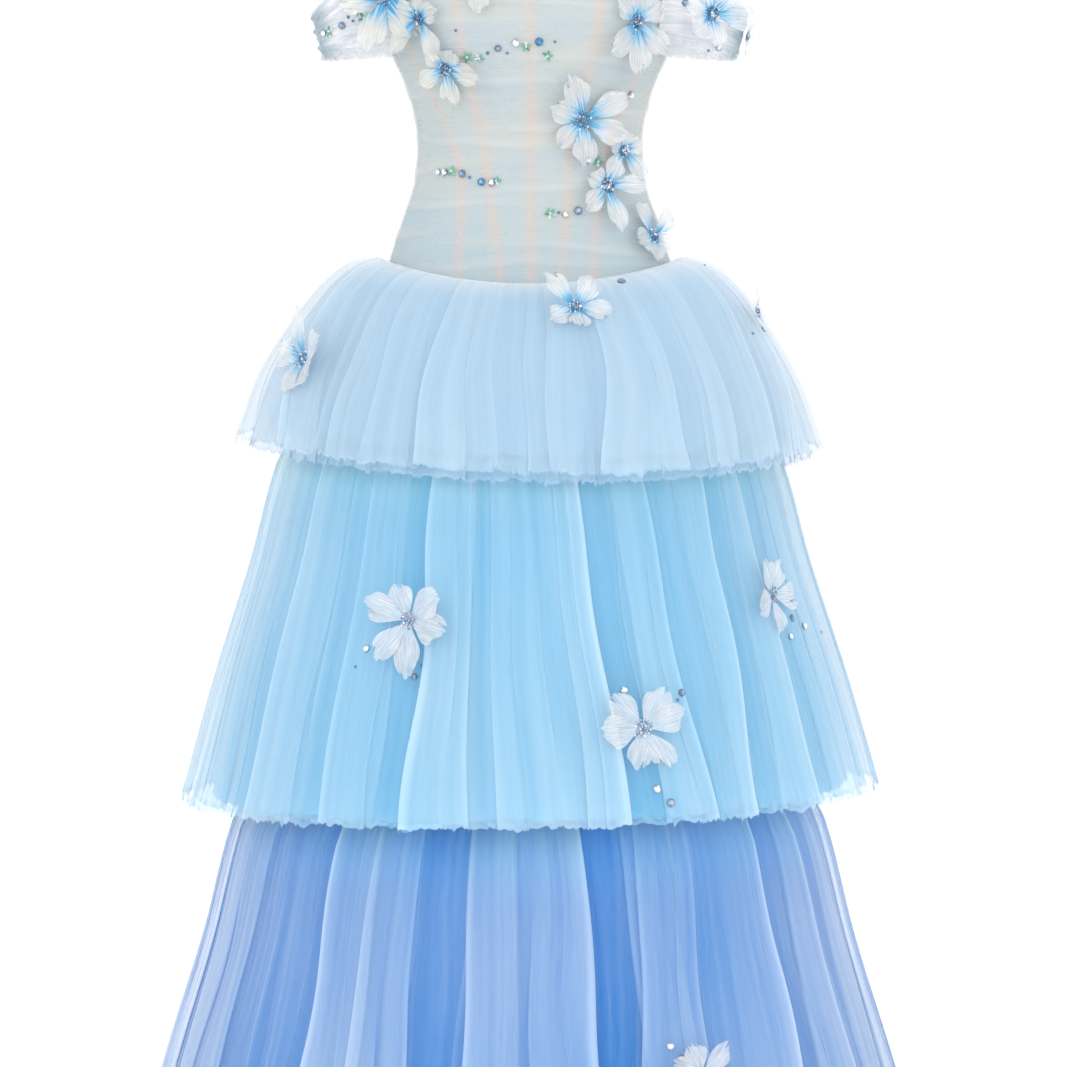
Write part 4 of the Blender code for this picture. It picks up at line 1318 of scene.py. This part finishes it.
# Crystals and small green flowers sewn on, as seen from the front: x, z and kind
# Columns: x, z, kind
BEADS = {
    "bodice_drape": (
        (-0.067, 0.100, "flower"), (-0.054, 0.099, "flower"), (-0.045, 0.104, "seed"),
        (-0.034, 0.109, "crystal"), (-0.024, 0.104, "seed"), (-0.015, 0.115, "clear"),
        (-0.004, 0.111, "flower"), (0.010, 0.116, "blue"), (0.019, 0.101, "flower"),
        (0.027, 0.116, "seed"), (-0.099, -0.022, "clear"), (-0.092, -0.022, "clear"),
        (-0.084, -0.021, "flower"), (-0.073, -0.024, "crystal"), (-0.065, -0.028, "seed"),
        (-0.052, -0.033, "blue"), (-0.041, -0.034, "clear"), (-0.036, -0.032, "flower"),
        (0.022, -0.067, "flower"), (0.031, -0.066, "seed"), (0.038, -0.068, "clear"),
        (0.052, -0.064, "crystal"), (0.088, 0.062, "clear"), (0.109, 0.061, "clear"),
        (0.063, -0.010, "clear"), (0.073, -0.011, "flower"), (-0.079, 0.128, "seed"),
    ),
    "sleeve_left_tulle": (
        (-0.223, 0.128, "clear"), (-0.217, 0.130, "flower"), (-0.203, 0.136, "crystal"),
        (-0.196, 0.145, "seed"), (-0.191, 0.141, "seed"), (-0.188, 0.150, "clear"),
        (-0.179, 0.144, "flower"),
    ),
    "sleeve_right_tulle": (
        (0.227, 0.145, "crystal"), (0.197, 0.121, "seed"), (0.193, 0.109, "seed"),
        (0.204, 0.112, "clear"), (0.168, 0.160, "crystal"),
    ),
    "tier_1_outer": (
        (0.098, -0.140, "crystal"), (0.240, -0.196, "seed"), (0.253, -0.192, "clear"),
        (0.190, -0.123, "seed"),
    ),
    "tier_2_outer": (
        (-0.170, -0.522, "clear"), (-0.182, -0.541, "seed"), (-0.135, -0.521, "clear"),
        (-0.120, -0.549, "crystal"), (-0.112, -0.537, "seed"), (0.098, -0.562, "clear"),
        (0.158, -0.566, "crystal"), (0.154, -0.573, "seed"), (0.122, -0.623, "clear"),
        (0.132, -0.663, "clear"), (0.146, -0.677, "crystal"), (0.262, -0.478, "clear"),
        (0.280, -0.499, "crystal"), (0.294, -0.509, "clear"), (0.267, -0.508, "seed"),
        (0.278, -0.518, "clear"), (0.315, -0.519, "seed"),
    ),
    "tier_3_outer": ((0.146, -0.930, "clear"), (0.158, -0.943, "crystal")),
}
BEAD_SIZES = {"clear": 4.0, "crystal": 4.4, "blue": 5.0, "flower": 6.2, "seed": 1.8}
BEAD_SPREAD = (0.88, 1.1)
BEAD_RISE = 0.5 * MM
BEAD_SEED = 5
# Rays from this far in front find the cloth under each bead
RAY_START = -2.0
# Places on the glass's ramp of tones: the outer facets', and each kind's. Within each kind's range, each
# facet's tone is drawn at random, as painted reflections and glints
SETTING_TONES = (0.42, 0.56)
BEAD_TONES = {"clear": (0.55, 1.0), "crystal": (0.3, 0.62), "blue": (0.0, 0.35), "seed": (0.0, 0.5)}
# The glass's own blues, the setting's grey, and greys and white painted as reflections and glints
GLASS_AND_GLINT_TONES = (
    (0.0, (24, 92, 146)), (0.3, (70, 148, 190)), (0.5, (92, 108, 136)), (0.75, (196, 206, 216)),
    (1.0, (252, 253, 255)),
)
GREEN_TONES = ((0.0, (58, 132, 106)), (0.5, (112, 182, 154)), (1.0, (230, 246, 240)))
# A cut crystal's rings of corners, against its radius
# Columns: radius, height
CRYSTAL_RINGS = ((1.0, 0.0), (0.92, 0.30), (0.48, 0.62))
CRYSTAL_SIDES = 8
# A sequin flower's petals: how many, of how many sides, and, against its radius, how far
# out they stand, their half length and half width, and the radius of the bead between them
SEQUIN_PETALS = 5
SEQUIN_SIDES = 7
SEQUIN_OUT = 0.60
SEQUIN_HALF_LENGTH = 0.42
SEQUIN_HALF_WIDTH = 0.24
SEQUIN_BEAD = 0.2
# The heights over the cloth of the petals' middles and of that bead, and the petals' doming
SEQUIN_RISE = 0.9 * MM
SEQUIN_BEAD_RISE = 1.2 * MM
SEQUIN_DOME = 0.7 * MM


def add_crystal(cluster, place, ex, ey, normal, radius, tones, rng):
    """A cut crystal: a ring of facets under a flat table, each facet with its own tone, drawn at random as
    painted reflections and glints.
    """
    corners = []
    for wide, high in CRYSTAL_RINGS:
        middle = place + high * radius * normal
        corners.append([middle + wide * radius * out for out, _ in circle(CRYSTAL_SIDES, ex, ey)])
    for row, (low, top) in enumerate(zip(corners, corners[1:])):
        for k in range(CRYSTAL_SIDES):
            j = (k + 1) % CRYSTAL_SIDES
            tone = rng.uniform(*(tones if row else SETTING_TONES))
            cluster.add((low[k], low[j], top[j], top[k]), ((0, 1, 2, 3),), tone)
    cluster.add(corners[-1], (tuple(range(CRYSTAL_SIDES)),), tones[1])


def add_sequin_flower(cluster, place, ex, ey, normal, radius, rng):
    """Small domed petals round a bead."""
    for ahead, beside in circle(SEQUIN_PETALS, ex, ey, rng.uniform(*PHASES)):
        middle = place + SEQUIN_OUT * radius * ahead + SEQUIN_RISE * normal
        low = middle - SEQUIN_DOME * normal
        long, wide = SEQUIN_HALF_LENGTH * radius * ahead, SEQUIN_HALF_WIDTH * radius * beside
        rim = [low + out for out, _ in circle(SEQUIN_SIDES, long, wide)]
        faces = [(0, 1 + j, 1 + (j + 1) % SEQUIN_SIDES) for j in range(SEQUIN_SIDES)]
        cluster.add([middle, *rim], faces, rng.uniform(0.1, 0.8))
    bead, sides = ball(SEQUIN_BEAD * radius)
    cluster.add(bead + place + SEQUIN_BEAD_RISE * normal, sides, 1.0)


def make_beads():
    rng = np.random.default_rng(BEAD_SEED)
    glass = bead_material("crystal_glass", GLASS_AND_GLINT_TONES, metallic=0.25, roughness=0.08)
    green = bead_material("green_sequin", GREEN_TONES, metallic=0.2, roughness=0.25)
    depsgraph = bpy.context.evaluated_depsgraph_get()
    for host, rows in BEADS.items():
        under = BVHTree.FromObject(bpy.data.objects[host], depsgraph)
        crystals, flowers = Cluster(), Cluster()
        for x, z, kind in rows:
            hit, normal, _, _ = under.ray_cast(Vector((x, RAY_START, z)), Vector((0, 1, 0)))
            if hit is None:
                continue
            if normal.y > 0:
                normal = -normal
            ex = normal.cross(Vector((0, 0, 1))).normalized()
            ey = normal.cross(ex)
            place = np.array(hit + BEAD_RISE * normal)
            axes = (np.array(ex), np.array(ey), np.array(normal))
            radius = BEAD_SIZES[kind] * MM * rng.uniform(*BEAD_SPREAD)
            if kind == "flower":
                add_sequin_flower(flowers, place, *axes, radius, rng)
            else:
                add_crystal(crystals, place, *axes, radius, BEAD_TONES[kind], rng)
        stem = host.rsplit("_", 1)[0]
        if crystals.points:
            crystals.make(f"{stem}_crystals", glass, False)
        if flowers.points:
            flowers.make(f"{stem}_sequin_flowers", green, True)


def make_stage():
    bpy.ops.mesh.primitive_plane_add(size=2 * FLOOR_HALF, location=(0, 0, FLOOR_Z))
    floor = bpy.context.object
    floor.name = "floor"
    material, _ = new_material("floor_paint")
    finish_material(material, {"Base Color": FLOOR_COLOUR, "Roughness": 0.9})
    floor.data.materials.append(material)

    world = bpy.data.worlds.new("studio")
    world.use_nodes = True
    back = world.node_tree.nodes["Background"]
    back.inputs["Color"].default_value = (1, 1, 1, 1)
    back.inputs["Strength"].default_value = WORLD_STRENGTH
    bpy.context.scene.world = world
    for name, place, energy, size in LIGHTS:
        data = bpy.data.lights.new(name, "AREA")
        data.energy = energy
        data.size = size
        light = bpy.data.objects.new(name, data)
        light.location = place
        aim = LIGHT_TARGET - Vector(place)
        light.rotation_euler = aim.to_track_quat("-Z", "Y").to_euler()
        bpy.context.scene.collection.objects.link(light)
    bpy.context.scene.view_settings.view_transform = "Standard"


def make_camera():
    data = bpy.data.cameras.new("camera")
    data.sensor_width = SENSOR_MM
    reach = CAMERA_TARGET - CAMERA_PLACE
    data.lens = SENSOR_MM * reach.length / (PHOTO_SIDE * METRES_PER_PIXEL)
    data.clip_end = 100.0
    camera = bpy.data.objects.new("camera", data)
    camera.location = CAMERA_PLACE
    camera.rotation_euler = reach.to_track_quat("-Z", "Y").to_euler()
    bpy.context.scene.collection.objects.link(camera)
    bpy.context.scene.camera = camera


make_camera()
make_stage()
make_bodice()
make_skirt_lining()
make_tiers()
make_sleeves()
make_flowers()
make_beads()
